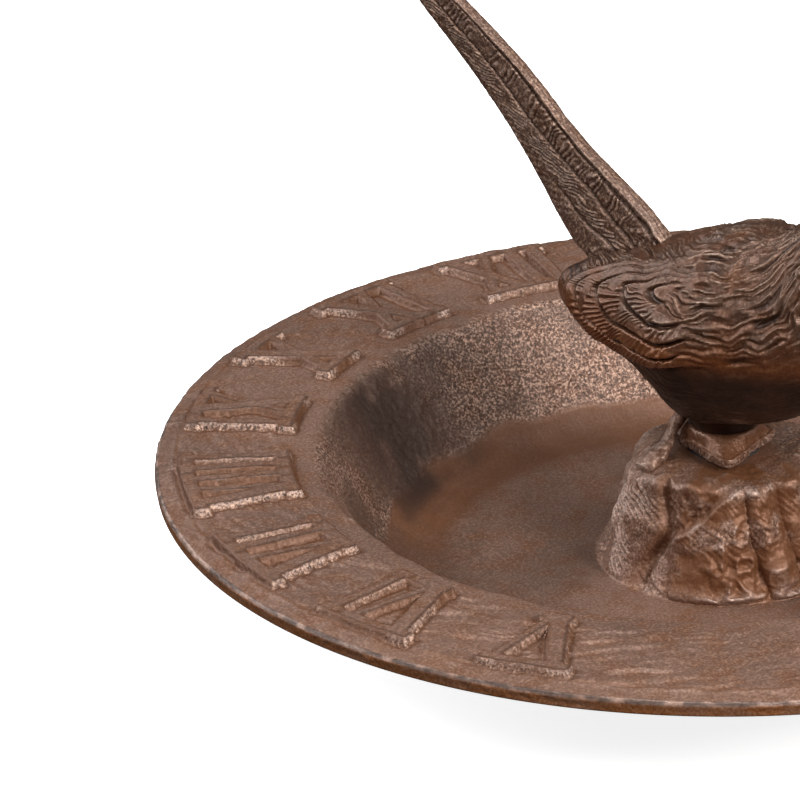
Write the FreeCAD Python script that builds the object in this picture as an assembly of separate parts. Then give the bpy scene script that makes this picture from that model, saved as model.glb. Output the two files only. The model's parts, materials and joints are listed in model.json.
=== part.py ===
import FreeCAD, Part
import math
import os

from FreeCAD import Vector as V

# Garden sundial that doubles as a bird bath.  Millimetres.
# +Z is up, z = 0 is the rest face of the foot ring, the Z axis is the dial's
# axis, and +Y points from the axis to the XII mark.

# ---------------------------------------------------------------- dimensions
# dial basin: rim
RIM_R = 150.0            # outer radius of the hour rim
RIM_Z = 40.0             # top plane of the rim above the rest face
RIM_T = 5.0              # rim thickness at the outer edge
BAND_R = 145.2           # where the plain outer band starts to fall away
BAND_DROP = 1.0          # how far the band drops towards the edge
EDGE_DRAFT = 0.4         # inward draft of the edge wall

# dial basin: bowl
BOWL_TOP_R = 106.4       # sharp-corner radius of bowl wall and rim plane
WALL_SLOPE = 59.0        # degrees from horizontal
BOWL_DEPTH = 32.0        # bowl floor below the rim plane
BOWL_LIP_FILLET = 8.0
BOWL_FLOOR_FILLET = 20.0
SHELL_T = 5.0            # wall thickness of the casting

# dial basin: foot ring and pedestal bosses
FOOT_R_IN = 62.0
FOOT_R_OUT = 70.0
BOSS_PCD = 132.0
BOSS_R = 9.0
TAP_R = 3.0              # M6 tapped holes, modelled at nominal size
TAP_DEPTH = 6.0

# dial basin: mound
MOUND_TOP = 38.5         # flat seat on top of the mound
MOUND_SEAT_R = 13.0
MOUND_CAVITY_TOP = 31.0
MOUND_CAVITY_R0 = 14.5
MOUND_CAVITY_R1 = 13.5
BOLT_HOLE_R = 4.5

# numerals
NUM_R_IN = 114.3
NUM_R_OUT = 143.2
NUM_H = 2.0              # height above the rim plane
NUM_SINK = 0.6           # depth of the root inside the rim
NUM_BAR = 3.6            # radial thickness of the serif bars
HOUR_ANGLES = (19.0, 36.4, 53.7, 73.4, 93.4, 113.0, 131.7)
STROKE_DEG = 1.55        # width of an I stroke
PITCH_DEG = 2.7          # spacing of I strokes

# fastening
BOLT_R = 4.0             # M8
BOLT_LEN = 35.0
BOLT_HEAD_AF = 13.0
BOLT_HEAD_H = 5.3
SPRING_W_R = (4.2, 7.0)
SPRING_W_T = 2.0
PLAIN_W_R = (4.2, 8.0)
PLAIN_W_T = 1.6
SEAL_R = (4.3, 9.5)
SEAL_T = 1.5
PLATE_T = 2.4

# bird
BIRD_TURN = 32.4         # tail's direction, degrees west of the XII line
BIRD_WALL = 4.0
BIRD_BOSS_R = 9.0
TAIL_T = 5.5
PIN_R = 1.5
PIN_LEN = 14.0

os.makedirs("parts", exist_ok=True)


# ------------------------------------------------------------------- helpers
def rounded_polyline(pts):
    """Edges of a closed outline in the XZ plane. pts: (r, z, fillet)."""
    n = len(pts)
    tang = []
    for i in range(n):
        p0, p1, p2 = pts[i - 1], pts[i], pts[(i + 1) % n]
        a = V(p0[0], 0, p0[1])
        b = V(p1[0], 0, p1[1])
        c = V(p2[0], 0, p2[1])
        f = p1[2]
        if f <= 0:
            tang.append((b, None, b))
            continue
        u = (a - b).normalize()
        w = (c - b).normalize()
        ang = u.getAngle(w)
        d = f / math.tan(ang / 2)
        s = b + u * d
        e = b + w * d
        bis = (u + w).normalize()
        centre = b + bis * (f / math.sin(ang / 2))
        m = centre + (b - centre).normalize() * f
        tang.append((s, m, e))
    edges = []
    for i in range(n):
        s, m, e = tang[i]
        if m is not None:
            edges.append(Part.Arc(s, m, e).toShape())
        nxt = tang[(i + 1) % n][0]
        if (nxt - e).Length > 1e-6:
            edges.append(Part.LineSegment(e, nxt).toShape())
    return Part.Wire(edges)


def revolve(pts):
    face = Part.Face(rounded_polyline(pts))
    s = face.revolve(V(0, 0, 0), V(0, 0, 1), 360)
    return s if s.ShapeType == "Solid" else Part.Solid(s.Shells[0])


def polar(theta_deg, r, z=0.0):
    """Angle is counter-clockwise from +Y."""
    t = math.radians(theta_deg)
    return V(-math.sin(t) * r, math.cos(t) * r, z)


def periodic_wire(points):
    c = Part.BSplineCurve()
    c.interpolate(points, PeriodicFlag=True)
    return Part.Wire([c.toShape()])


def tube(r0, r1, z0, z1):
    a = Part.makeCylinder(r1, z1 - z0, V(0, 0, z0))
    b = Part.makeCylinder(r0, z1 - z0 + 2, V(0, 0, z0 - 1))
    return a.cut(b)


def single(shape, name):
    sol = shape.Solids
    if len(sol) != 1:
        print(name, "has", len(sol), "solids")
    s = sol[0] if len(sol) == 1 else shape
    print("%-16s valid=%s vol=%.1f mm3 faces=%d" % (name, s.isValid(), s.Volume, len(s.Faces)))
    return s


def export(shape, name):
    shape.exportStep("parts/%s.step" % name)


# ----------------------------------------------------------------- numerals
# Each letter fills its own angular width.  Its strokes are radial, and the
# serifs run together into one bar along the outer end and one along the
# inner end.  Positive angle is counter-clockwise from +Y.
def arc_bar(a0, a1, r0, r1, flare0=0.0, flare1=0.0):
    n = max(2, int(abs(a1 - a0) / 1.5) + 1)
    out = [polar(a0 + flare0 * 0 + (a1 - a0) * i / n, r1) for i in range(n + 1)]
    inn = [polar(a0 + (a1 - a0) * i / n, r0) for i in range(n + 1)]
    return out + inn[::-1]


def stroke(a_in, r_in, a_out, r_out, w):
    p = polar(a_in, r_in)
    q = polar(a_out, r_out)
    d = (q - p).normalize()
    nrm = V(-d.y, d.x, 0) * (w / 2)
    return [p + nrm, q + nrm, q - nrm, p - nrm]


def glyphs(centre, letters):
    total = sum(w for _, w in letters)
    a = centre + total / 2
    polys = []
    ri, ro = NUM_R_IN, NUM_R_OUT
    mid = (ri + ro) / 2
    w_i = math.radians(STROKE_DEG) * mid
    for ch, w in letters:
        lo, hi = a - w, a
        if ch == "I":
            c = (lo + hi) / 2
            polys.append(stroke(c, ri, c, ro, w_i))
            polys.append(arc_bar(lo, hi, ro - NUM_BAR, ro))
            polys.append(arc_bar(lo, hi, ri, ri + NUM_BAR))
        elif ch == "X":
            polys.append(stroke(hi - 1.5, ro - 0.5, lo + 1.5, ri + 0.5, 4.6))
            polys.append(stroke(lo + 1.6, ro - 0.5, hi - 1.6, ri + 0.5, 2.8))
            polys.append(arc_bar(lo, hi, ro - NUM_BAR, ro))
            polys.append(arc_bar(lo, hi, ri, ri + NUM_BAR))
        elif ch == "V":
            apex = lo + w * 0.42
            polys.append(stroke(hi - 1.5, ro - 0.5, apex + 0.4, ri + 0.5, 4.8))
            polys.append(stroke(lo + 1.3, ro - 0.5, apex, ri + 0.5, 2.8))
            polys.append(arc_bar(lo, hi, ro - NUM_BAR, ro))
            polys.append(arc_bar(lo if len(letters) > 1 else apex - 1.9, apex + 2.3, ri, ri + NUM_BAR))
        a = lo
    return polys


def numeral(centre, letters):
    faces = []
    for pts in glyphs(centre, letters):
        pts = [V(p.x, p.y, RIM_Z - NUM_SINK) for p in pts]
        turn = sum(a.x * b.y - b.x * a.y for a, b in zip(pts, pts[1:] + pts[:1]))
        if turn < 0:
            pts.reverse()
        faces.append(Part.Face(Part.makePolygon(pts + [pts[0]])))
    joined = faces[0].multiFuse(faces[1:])
    plate = Part.Shell(joined.Faces).removeSplitter()
    return [f.extrude(V(0, 0, NUM_H + NUM_SINK)) for f in plate.Faces]


def letters(text, v=None, x=None):
    out = []
    for ch in text:
        out.append((ch, {"I": PITCH_DEG, "V": v or 7.6, "X": x or 8.6}[ch]))
    return out


H = HOUR_ANGLES
NUMERALS = [
    (0.0, letters("XII", x=8.0)),
    (H[0], letters("XI")), (H[1], letters("X")), (H[2], letters("IX", x=7.6)),
    (H[3], letters("VIII", v=6.4)), (H[4], letters("VII", v=7.6)),
    (H[5], letters("VI", v=9.0)), (H[6], letters("V", v=9.6)),
    (-H[0], [("I", 4.2)]), (-H[1], [("I", PITCH_DEG + 0.7), ("I", PITCH_DEG + 0.7)]),
    (-H[2], letters("III")), (-H[3], letters("IIII")),
    (-H[4], letters("V", v=9.6)), (-H[5], letters("VI", v=9.0)),
    (-H[6], letters("VII", v=7.6)),
]


# --------------------------------------------------------------- dial basin
def basin_body():
    s = math.tan(math.radians(WALL_SLOPE))
    floor_z = RIM_Z - BOWL_DEPTH
    corner_in = BOWL_TOP_R - BOWL_DEPTH / s
    nx = math.sin(math.radians(WALL_SLOPE)) * SHELL_T
    nz = math.cos(math.radians(WALL_SLOPE)) * SHELL_T
    # outer face of the wall, offset by the shell thickness
    def outer_r(z):
        return BOWL_TOP_R + nx - (RIM_Z - nz - z) / s
    under = RIM_Z - RIM_T
    bottom = floor_z - SHELL_T
    pts = [
        (0.0, bottom, 0),
        (FOOT_R_IN, bottom, 0),
        (FOOT_R_IN + 0.8, 0.0, 0.6),
        (FOOT_R_OUT - 0.8, 0.0, 0.6),
        (FOOT_R_OUT, bottom, 1.5),
        (outer_r(bottom), bottom, 24.0),
        (outer_r(under), under, 6.0),
        (RIM_R - EDGE_DRAFT, under, 0.8),
        (RIM_R, RIM_Z - BAND_DROP, 0.5),
        (BAND_R, RIM_Z, 0),
        (BOWL_TOP_R, RIM_Z, BOWL_LIP_FILLET),
        (corner_in, floor_z, BOWL_FLOOR_FILLET),
        (0.0, floor_z, 0),
    ]
    return revolve(pts)


# The mound is a weathered stump with flared roots: each level is a closed
# lobed outline, (z, mean radius, lobe depth, twist in degrees).
MOUND_LEVELS = (
    (5.0, 34.6, 1.0, 0),
    (10.0, 32.6, 1.7, 1),
    (16.0, 30.8, 2.0, 3),
    (24.0, 29.0, 2.0, 6),
    (31.0, 27.4, 1.6, 8),
    (35.0, 25.4, 1.0, 9),
)
ROOTS = ((48, 1.0), (94, 1.1), (126, 0.8), (146, 0.7), (176, 0.9), (226, 1.0), (274, 0.8), (322, 0.9))


def mound_outline(z, r0, depth, twist):
    pts = []
    for k in range(48):
        t = 360.0 * k / 48
        lobe = 0.0
        for c, g in ROOTS:
            d = (t - c - twist + 180) % 360 - 180
            lobe += g * math.exp(-(d / 15.0) ** 2)
        r = r0 + depth * (lobe * 2.0 - 0.8)
        pts.append(polar(t, r, z))
    return periodic_wire(pts)


def mound():
    wires = [mound_outline(*lv) for lv in MOUND_LEVELS]
    wires.append(Part.Wire([Part.makeCircle(18.5, V(0, 0, 37.6))]))
    body = Part.makeLoft(wires, True, False)
    cap = Part.makeCone(19.5, MOUND_SEAT_R, MOUND_TOP - 36.6, V(0, 0, 36.6))
    return body.fuse(cap)


def make_basin():
    body = basin_body()
    body = body.fuse(mound())
    for k in range(3):
        p = polar(60 + 120 * k, BOSS_PCD / 2)
        body = body.fuse(Part.makeCylinder(BOSS_R, 5.0, p))
    cavity = revolve([
        (0.0, -1.0, 0), (MOUND_CAVITY_R0, -1.0, 0), (MOUND_CAVITY_R0, 3.0, 0),
        (MOUND_CAVITY_R1, MOUND_CAVITY_TOP, 3.0), (0.0, MOUND_CAVITY_TOP, 0)])
    body = body.cut(cavity)
    body = body.cut(Part.makeCylinder(BOLT_HOLE_R, 20, V(0, 0, MOUND_CAVITY_TOP - 5)))
    for k in range(3):
        p = polar(60 + 120 * k, BOSS_PCD / 2)
        body = body.cut(Part.makeCylinder(TAP_R, TAP_DEPTH + 1, V(p.x, p.y, -1)))
    plaques = []
    for c, ls in NUMERALS:
        plaques.extend(numeral(c, ls))
    body = body.multiFuse(plaques)
    return single(body, "dial_basin")


# ------------------------------------------------------------------ figure
HEAD_DIR = V(math.sin(math.radians(BIRD_TURN)), -math.cos(math.radians(BIRD_TURN)), 0)
SIDE_DIR = V(math.cos(math.radians(BIRD_TURN)), math.sin(math.radians(BIRD_TURN)), 0)


def fig(u, v, z):
    """Figure coordinates: u forward, v to its right, z above the rim plane."""
    return HEAD_DIR * u + SIDE_DIR * v + V(0, 0, RIM_Z + z)


def section(u, zc, hh, hw, tilt):
    """Closed oval across the body: centre height, half height, half width."""
    pts = []
    c, s = math.cos(math.radians(tilt)), math.sin(math.radians(tilt))
    for k in range(24):
        t = 2 * math.pi * k / 24
        v = hw * math.cos(t)
        w = hh * math.sin(t)
        pts.append(fig(u + w * s, v, zc + w * c))
    return periodic_wire(pts)


# u, centre z, half height, half width, tilt of the section
BODY = (
    (-48.5, 37.0, 4.0, 5.0, 10),
    (-40.0, 36.2, 9.6, 10.2, 8),
    (-29.0, 35.2, 14.8, 15.0, 5),
    (-14.0, 33.8, 21.4, 21.4, 2),
    (3.0, 32.6, 26.6, 26.4, 0),
    (18.0, 35.0, 26.2, 25.4, -8),
    (30.0, 40.0, 23.8, 22.6, -20),
    (39.0, 47.5, 20.2, 19.2, -36),
)
HEAD_C = (45.0, 60.5)
HEAD_R = 17.5


def body_loft(shrink):
    rows = []
    for i, (u, zc, hh, hw, tilt) in enumerate(BODY):
        if shrink:
            if i == 0:
                continue
            if i == 1:
                hh, hw = hh - 3.5, hw - 3.5
            else:
                hh, hw = hh - shrink, hw - shrink
        rows.append(section(u, zc, hh, hw, tilt))
    return Part.makeLoft(rows, True, False)


def make_bird():
    outer = body_loft(0)
    head = Part.makeSphere(HEAD_R, fig(HEAD_C[0], 0, HEAD_C[1]))
    beak_dir = (HEAD_DIR * 1.0 + V(0, 0, 0.16)).normalize()
    beak_at = fig(HEAD_C[0], 0, HEAD_C[1]) + beak_dir * (HEAD_R - 4.0)
    beak = Part.makeCone(5.2, 0.6, 24.0, beak_at, beak_dir)
    outer = outer.fuse(head).fuse(beak)
    # short foot that stands on the plate
    foot = Part.makeCylinder(BIRD_BOSS_R, 16, V(0, 0, SEAT_Z))
    inner = body_loft(BIRD_WALL)
    inner_head = Part.makeSphere(HEAD_R - BIRD_WALL, fig(HEAD_C[0], 0, HEAD_C[1]))
    inner = inner.fuse(inner_head)
    # column for the bolt and block for the tail's tang stay solid
    column = Part.makeCylinder(BIRD_BOSS_R, 34, V(0, 0, RIM_Z))
    inner = inner.cut(column)
    block = Part.makeBox(34, 18, 34, V(-17, -9, 0))
    block.rotate(V(0, 0, 0), V(0, 0, 1), -90 + BIRD_TURN)
    block.translate(fig(-33, 0, 30))
    inner = inner.cut(block)
    bird = outer.fuse(foot).cut(inner)
    bird = bird.cut(Part.makeBox(200, 200, 60, V(-100, -100, SEAT_Z - 60)))
    bird = bird.cut(Part.makeCylinder(BOLT_R, BOLT_TIP_Z - SEAT_Z + 2, V(0, 0, SEAT_Z - 1)))
    bird = bird.cut(tail_tang(0.0))
    bird = bird.cut(pin_solid())
    return bird, outer


# Tail blade: outline in the figure's middle plane, (u, z above rim plane)
TAIL_LOW = ((-39.6, 42.8), (-54.6, 64.3), (-73.8, 89.8), (-103.5, 120.6))
TAIL_TOP = ((-15.6, 51.8), (-37.5, 72.4), (-56.6, 91.9), (-98.5, 126.0))
TANG_DEPTH = 13.0


def blade_section(lo, hi, half_t):
    """Closed section from the lower edge to the upper edge of the blade."""
    (u0, z0), (u1, z1) = lo, hi
    L = math.hypot(u1 - u0, z1 - z0)
    du, dz = (u1 - u0) / L, (z1 - z0) / L
    prof = ((0, 0.55), (0.25, 1.0), (0.7, 0.92), (1.0, 0.42))
    pts = []
    for f, g in prof:
        pts.append(fig(u0 + du * L * f, half_t * g, z0 + dz * L * f))
    for f, g in prof[::-1]:
        pts.append(fig(u0 + du * L * f, -half_t * g, z0 + dz * L * f))
    return Part.makePolygon(pts + [pts[0]])


def tail_blade():
    ws = [blade_section(TAIL_LOW[i], TAIL_TOP[i], t / 2.0)
          for i, t in enumerate((TAIL_T, TAIL_T - 0.5, TAIL_T - 1.0, TAIL_T - 2.0))]
    # start inside the tang so that the two are one piece
    return Part.makeLoft(ws, True, True)


def tail_tang(clear):
    """Flat tang that continues the blade down into the rump."""
    (u0, z0), (u1, z1) = TAIL_LOW[0], TAIL_TOP[0]
    L = math.hypot(u1 - u0, z1 - z0)
    e = ((u1 - u0) / L, (z1 - z0) / L)
    # into the body, square to the base line
    d = (e[1], -e[0])
    f0, f1 = 0.22, 0.74
    h = 2.0
    a = (u0 + e[0] * L * f0 - d[0] * 0.0, z0 + e[1] * L * f0 - d[1] * 0.0)
    b = (u0 + e[0] * L * f1 - d[0] * 0.0, z0 + e[1] * L * f1 - d[1] * 0.0)
    up = 4.0
    pts = [
        fig(a[0] - d[0] * up, -h, a[1] - d[1] * up), fig(b[0] - d[0] * up, -h, b[1] - d[1] * up),
        fig(b[0] + d[0] * TANG_DEPTH, -h, b[1] + d[1] * TANG_DEPTH),
        fig(a[0] + d[0] * TANG_DEPTH, -h, a[1] + d[1] * TANG_DEPTH)]
    face = Part.Face(Part.makePolygon(pts + [pts[0]]))
    return face.extrude(SIDE_DIR * (2 * h))


PIN_AT = (-27.0, 46.0)


def pin_solid():
    p = fig(PIN_AT[0], -PIN_LEN / 2, PIN_AT[1])
    return Part.makeCylinder(PIN_R, PIN_LEN, p, SIDE_DIR)


def make_tail(bird_outer):
    # the blade's foot follows the back of the bird
    return tail_blade().cut(bird_outer).fuse(tail_tang(0.0))


def make_plate():
    pts = []
    prof = {20: 12.5, 61: 13.5, 80: 11.2, 98: 10.2, 118: 11.0, 138: 14.2, 155: 18.5, 172: 14.2,
            192: 11.0, 212: 10.2, 232: 11.2, 250: 13.5, 290: 12.5, 335: 14.5}
    for t, r in sorted(prof.items()):
        pts.append(polar(t, r, PLATE_Z))
    w = periodic_wire(pts)
    plate = Part.Face(w).extrude(V(0, 0, PLATE_T))
    return plate.cut(Part.makeCylinder(BOLT_HOLE_R, 20, V(0, 0, PLATE_Z - 5)))


# stacked heights on the bolt
PLATE_Z = MOUND_TOP + SEAL_T
SEAT_Z = PLATE_Z + PLATE_T
HEAD_TOP_Z = MOUND_CAVITY_TOP - PLAIN_W_T - SPRING_W_T
BOLT_TIP_Z = HEAD_TOP_Z + BOLT_LEN


def make_bolt():
    pts = []
    r = BOLT_HEAD_AF / 2 / math.cos(math.radians(30))
    for k in range(6):
        t = math.radians(60 * k)
        pts.append(V(r * math.cos(t), r * math.sin(t), HEAD_TOP_Z - BOLT_HEAD_H))
    head = Part.Face(Part.makePolygon(pts + [pts[0]])).extrude(V(0, 0, BOLT_HEAD_H))
    cham = revolve([(0.0, HEAD_TOP_Z - BOLT_HEAD_H, 0), (BOLT_HEAD_AF / 2 - 0.2, HEAD_TOP_Z - BOLT_HEAD_H, 0),
                    (BOLT_HEAD_AF / 2 + 1.6, HEAD_TOP_Z - BOLT_HEAD_H + 1.0, 0),
                    (BOLT_HEAD_AF / 2 + 1.6, HEAD_TOP_Z + 1, 0), (0.0, HEAD_TOP_Z + 1, 0)])
    head = head.common(cham)
    shank = Part.makeCylinder(BOLT_R, BOLT_LEN, V(0, 0, HEAD_TOP_Z))
    return head.fuse(shank).removeSplitter()


def make_spring_washer():
    z0 = HEAD_TOP_Z
    w = tube(SPRING_W_R[0], SPRING_W_R[1], z0, z0 + SPRING_W_T)
    slot = Part.makeBox(8, 1.0, SPRING_W_T * 3, V(3.0, -0.5, z0 - SPRING_W_T))
    slot.rotate(V(5.6, 0, z0 + SPRING_W_T / 2), V(1, 0, 0), 25)
    return w.cut(slot)


def main():
    basin = make_basin()
    bird, bird_outer = make_bird()
    bird = single(bird, "bird_body")
    tail = make_tail(bird_outer)
    tail = tail.cut(bird).cut(pin_solid())
    keep = max(tail.Solids, key=lambda q: q.Volume)
    tail = single(keep, "tail_gnomon")
    plate = single(make_plate(), "perch_plate")
    bolt = single(make_bolt(), "centre_bolt")
    spring = single(make_spring_washer(), "spring_washer")
    plain = single(tube(PLAIN_W_R[0], PLAIN_W_R[1], MOUND_CAVITY_TOP - PLAIN_W_T, MOUND_CAVITY_TOP), "plain_washer")
    seal = single(tube(SEAL_R[0], SEAL_R[1], MOUND_TOP, PLATE_Z), "sealing_washer")
    pin = single(pin_solid(), "tail_pin")

    export(basin, "dial_basin")
    export(bird, "bird_body")
    export(tail, "tail_gnomon")
    export(plate, "perch_plate")
    export(bolt, "centre_bolt")
    export(spring, "spring_washer")
    export(plain, "plain_washer")
    export(seal, "sealing_washer")
    export(pin, "tail_pin")
    allb = Part.makeCompound([basin, bird, tail, plate, bolt, spring, plain, seal, pin]).BoundBox
    print("box", allb)


main()
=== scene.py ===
import bpy
import math
import json
import numpy as np
from mathutils import Vector, Matrix

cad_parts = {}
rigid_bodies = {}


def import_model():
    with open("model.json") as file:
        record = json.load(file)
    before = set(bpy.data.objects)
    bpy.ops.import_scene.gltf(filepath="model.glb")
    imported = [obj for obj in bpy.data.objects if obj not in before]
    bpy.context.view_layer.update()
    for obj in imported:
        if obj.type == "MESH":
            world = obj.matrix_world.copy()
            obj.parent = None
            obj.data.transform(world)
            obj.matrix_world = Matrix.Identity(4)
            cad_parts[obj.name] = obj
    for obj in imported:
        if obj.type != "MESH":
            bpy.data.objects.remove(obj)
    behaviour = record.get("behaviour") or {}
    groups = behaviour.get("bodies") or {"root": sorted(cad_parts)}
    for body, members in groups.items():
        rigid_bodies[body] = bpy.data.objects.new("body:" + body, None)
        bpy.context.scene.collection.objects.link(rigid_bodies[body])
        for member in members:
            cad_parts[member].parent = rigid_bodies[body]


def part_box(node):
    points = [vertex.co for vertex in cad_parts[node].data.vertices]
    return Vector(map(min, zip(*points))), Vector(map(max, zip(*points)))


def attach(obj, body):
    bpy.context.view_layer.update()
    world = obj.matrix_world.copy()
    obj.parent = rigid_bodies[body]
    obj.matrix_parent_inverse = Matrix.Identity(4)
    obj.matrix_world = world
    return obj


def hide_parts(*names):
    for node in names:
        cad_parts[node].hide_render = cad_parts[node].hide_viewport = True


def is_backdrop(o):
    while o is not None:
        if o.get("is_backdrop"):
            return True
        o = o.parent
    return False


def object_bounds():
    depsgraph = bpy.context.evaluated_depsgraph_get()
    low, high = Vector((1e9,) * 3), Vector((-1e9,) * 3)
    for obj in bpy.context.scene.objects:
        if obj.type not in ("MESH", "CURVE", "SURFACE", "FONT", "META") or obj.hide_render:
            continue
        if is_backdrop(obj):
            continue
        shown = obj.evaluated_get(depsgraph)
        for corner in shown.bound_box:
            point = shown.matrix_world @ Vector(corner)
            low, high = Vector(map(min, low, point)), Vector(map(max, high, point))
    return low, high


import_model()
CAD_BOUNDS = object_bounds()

MM = 0.001

# ------------------------------------------------------------------ frame data
_lo, _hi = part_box("dial_basin")
NUM_H = 2.0                                   # numerals above the rim plane, mm
RIM_Z = _hi.z / MM - NUM_H                    # rim plane, mm
RIM_R = 150.0
_plo, _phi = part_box("perch_plate")
PLATE_Z0, PLATE_Z1 = _plo.z / MM, _phi.z / MM
_tlo, _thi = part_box("tail_gnomon")
TURN = 32.4
HEAD = np.array([math.sin(math.radians(TURN)), -math.cos(math.radians(TURN)), 0.0])
SIDE = np.array([math.cos(math.radians(TURN)), math.sin(math.radians(TURN)), 0.0])


# ----------------------------------------------------------------------- noise
_LAT = {}


def lattice(seed):
    if seed not in _LAT:
        rng = np.random.default_rng(1000 + seed)
        _LAT[seed] = (rng.random((48, 48, 48)) * 2 - 1).astype(np.float32)
    return _LAT[seed]


def noise(p, size, seed=0):
    """Smooth value noise of about -1..1. p: (n, 3) in mm, size: feature size in mm (or 3 sizes)."""
    q = np.asarray(p, np.float64) / np.asarray(size, np.float64) + 17.31 * (seed + 1)
    i = np.floor(q).astype(np.int64)
    f = q - i
    f = f * f * f * (f * (f * 6 - 15) + 10)
    L = lattice(seed)
    n = L.shape[0]
    x0, y0, z0 = (i % n).T
    x1, y1, z1 = ((i + 1) % n).T
    fx, fy, fz = f.T
    c00 = L[x0, y0, z0] * (1 - fx) + L[x1, y0, z0] * fx
    c10 = L[x0, y1, z0] * (1 - fx) + L[x1, y1, z0] * fx
    c01 = L[x0, y0, z1] * (1 - fx) + L[x1, y0, z1] * fx
    c11 = L[x0, y1, z1] * (1 - fx) + L[x1, y1, z1] * fx
    return (c00 * (1 - fy) + c10 * fy) * (1 - fz) + (c01 * (1 - fy) + c11 * fy) * fz


def fbm(p, size, octaves=3, seed=0, gain=0.5):
    s, a, t = 0.0, 1.0, 0.0
    size = np.asarray(size, float)
    for k in range(octaves):
        s = s + a * noise(p, size / 2 ** k, seed + k)
        t += a
        a *= gain
    return s / t


def ridged(p, size, seed=0):
    return 1 - 2 * np.abs(noise(p, size, seed))


def sstep(a, b, x):
    t = np.clip((x - a) / (b - a), 0, 1)
    return t * t * (3 - 2 * t)


def bell(x, c, w):
    return np.exp(-((x - c) / w) ** 2)


def lerp(a, b, t):
    return a + (b - a) * t


# ------------------------------------------------------------------- mesh tools
def mesh_object(name, verts_mm, faces, attrs=None, smooth=True):
    me = bpy.data.meshes.new(name)
    v = np.asarray(verts_mm, np.float64) * MM
    me.vertices.add(len(v))
    me.vertices.foreach_set("co", v.astype(np.float32).ravel())
    loops, starts, totals = [], [], []
    n = 0
    for block in faces:
        b = np.asarray(block, np.int32)
        if b.size == 0:
            continue
        k = b.shape[1]
        loops.append(b.ravel())
        starts.append(n + np.arange(len(b), dtype=np.int32) * k)
        totals.append(np.full(len(b), k, np.int32))
        n += b.size
    loops = np.concatenate(loops)
    starts = np.concatenate(starts)
    totals = np.concatenate(totals)
    me.loops.add(len(loops))
    me.loops.foreach_set("vertex_index", loops)
    me.polygons.add(len(starts))
    me.polygons.foreach_set("loop_start", starts)
    me.polygons.foreach_set("loop_total", totals)
    me.update(calc_edges=True)
    me.validate(verbose=False)
    for key, val in (attrs or {}).items():
        a = me.attributes.new(key, "FLOAT", "POINT")
        a.data.foreach_set("value", np.asarray(val, np.float32).ravel())
    if smooth:
        me.polygons.foreach_set("use_smooth", np.ones(len(me.polygons), bool))
    ob = bpy.data.objects.new(name, me)
    bpy.context.scene.collection.objects.link(ob)
    return ob


def grid_faces(nr, nc, closed_c=True, closed_r=False, flip=False, base=0):
    r = np.arange(nr if closed_r else nr - 1)
    c = np.arange(nc if closed_c else nc - 1)
    R, C = np.meshgrid(r, c, indexing="ij")
    R1, C1 = (R + 1) % nr, (C + 1) % nc
    f = np.stack([R * nc + C, R * nc + C1, R1 * nc + C1, R1 * nc + C], -1).reshape(-1, 4) + base
    return f[:, ::-1] if flip else f


def zipper(idx_a, ang_a, idx_b, ang_b, flip=False):
    """Triangles between two closed rings whose points sit at the given sorted angles."""
    na, nb = len(idx_a), len(idx_b)
    i = j = 0
    tri = []
    while i < na or j < nb:
        aa = ang_a[i + 1] if i + 1 < na else ang_a[0] + 2 * math.pi
        bb = ang_b[j + 1] if j + 1 < nb else ang_b[0] + 2 * math.pi
        if j >= nb or (i < na and aa <= bb):
            tri.append((idx_a[i], idx_a[(i + 1) % na], idx_b[j % nb]))
            i += 1
        else:
            tri.append((idx_a[i % na], idx_b[(j + 1) % nb], idx_b[j]))
            j += 1
    t = np.array(tri, np.int32)
    return t[:, ::-1] if flip else t


def grid_normals(P, closed_c=True, closed_r=False):
    """Unit normals of an (nr, nc, 3) grid of points."""
    if closed_c:
        dc = np.roll(P, -1, 1) - np.roll(P, 1, 1)
    else:
        dc = np.gradient(P, axis=1)
    if closed_r:
        dr = np.roll(P, -1, 0) - np.roll(P, 1, 0)
    else:
        dr = np.gradient(P, axis=0)
    n = np.cross(dr, dc)
    return n / np.maximum(np.linalg.norm(n, axis=-1, keepdims=True), 1e-9)


# ------------------------------------------------------------------ letter forms
NUM_R_IN, NUM_R_OUT, NUM_BAR = 114.3, 143.2, 3.6
HOURS = (19.0, 36.4, 53.7, 73.4, 93.4, 113.0, 131.7)
STROKE_DEG, PITCH_DEG = 1.55, 2.7


def pol(a_deg, r):
    t = math.radians(a_deg)
    return (-math.sin(t) * r, math.cos(t) * r)


def arc_bar(a0, a1, r0, r1):
    n = max(2, int(abs(a1 - a0) / 1.5) + 1)
    out = [pol(a0 + (a1 - a0) * i / n, r1) for i in range(n + 1)]
    inn = [pol(a0 + (a1 - a0) * i / n, r0) for i in range(n + 1)]
    return np.array(out + inn[::-1])


def stroke(a_in, r_in, a_out, r_out, w, w_out=None):
    p, q = np.array(pol(a_in, r_in)), np.array(pol(a_out, r_out))
    d = (q - p) / np.linalg.norm(q - p)
    n = np.array([-d[1], d[0]])
    w_out = w if w_out is None else w_out
    return np.array([p + n * w / 2, q + n * w_out / 2, q - n * w_out / 2, p - n * w / 2])


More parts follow.
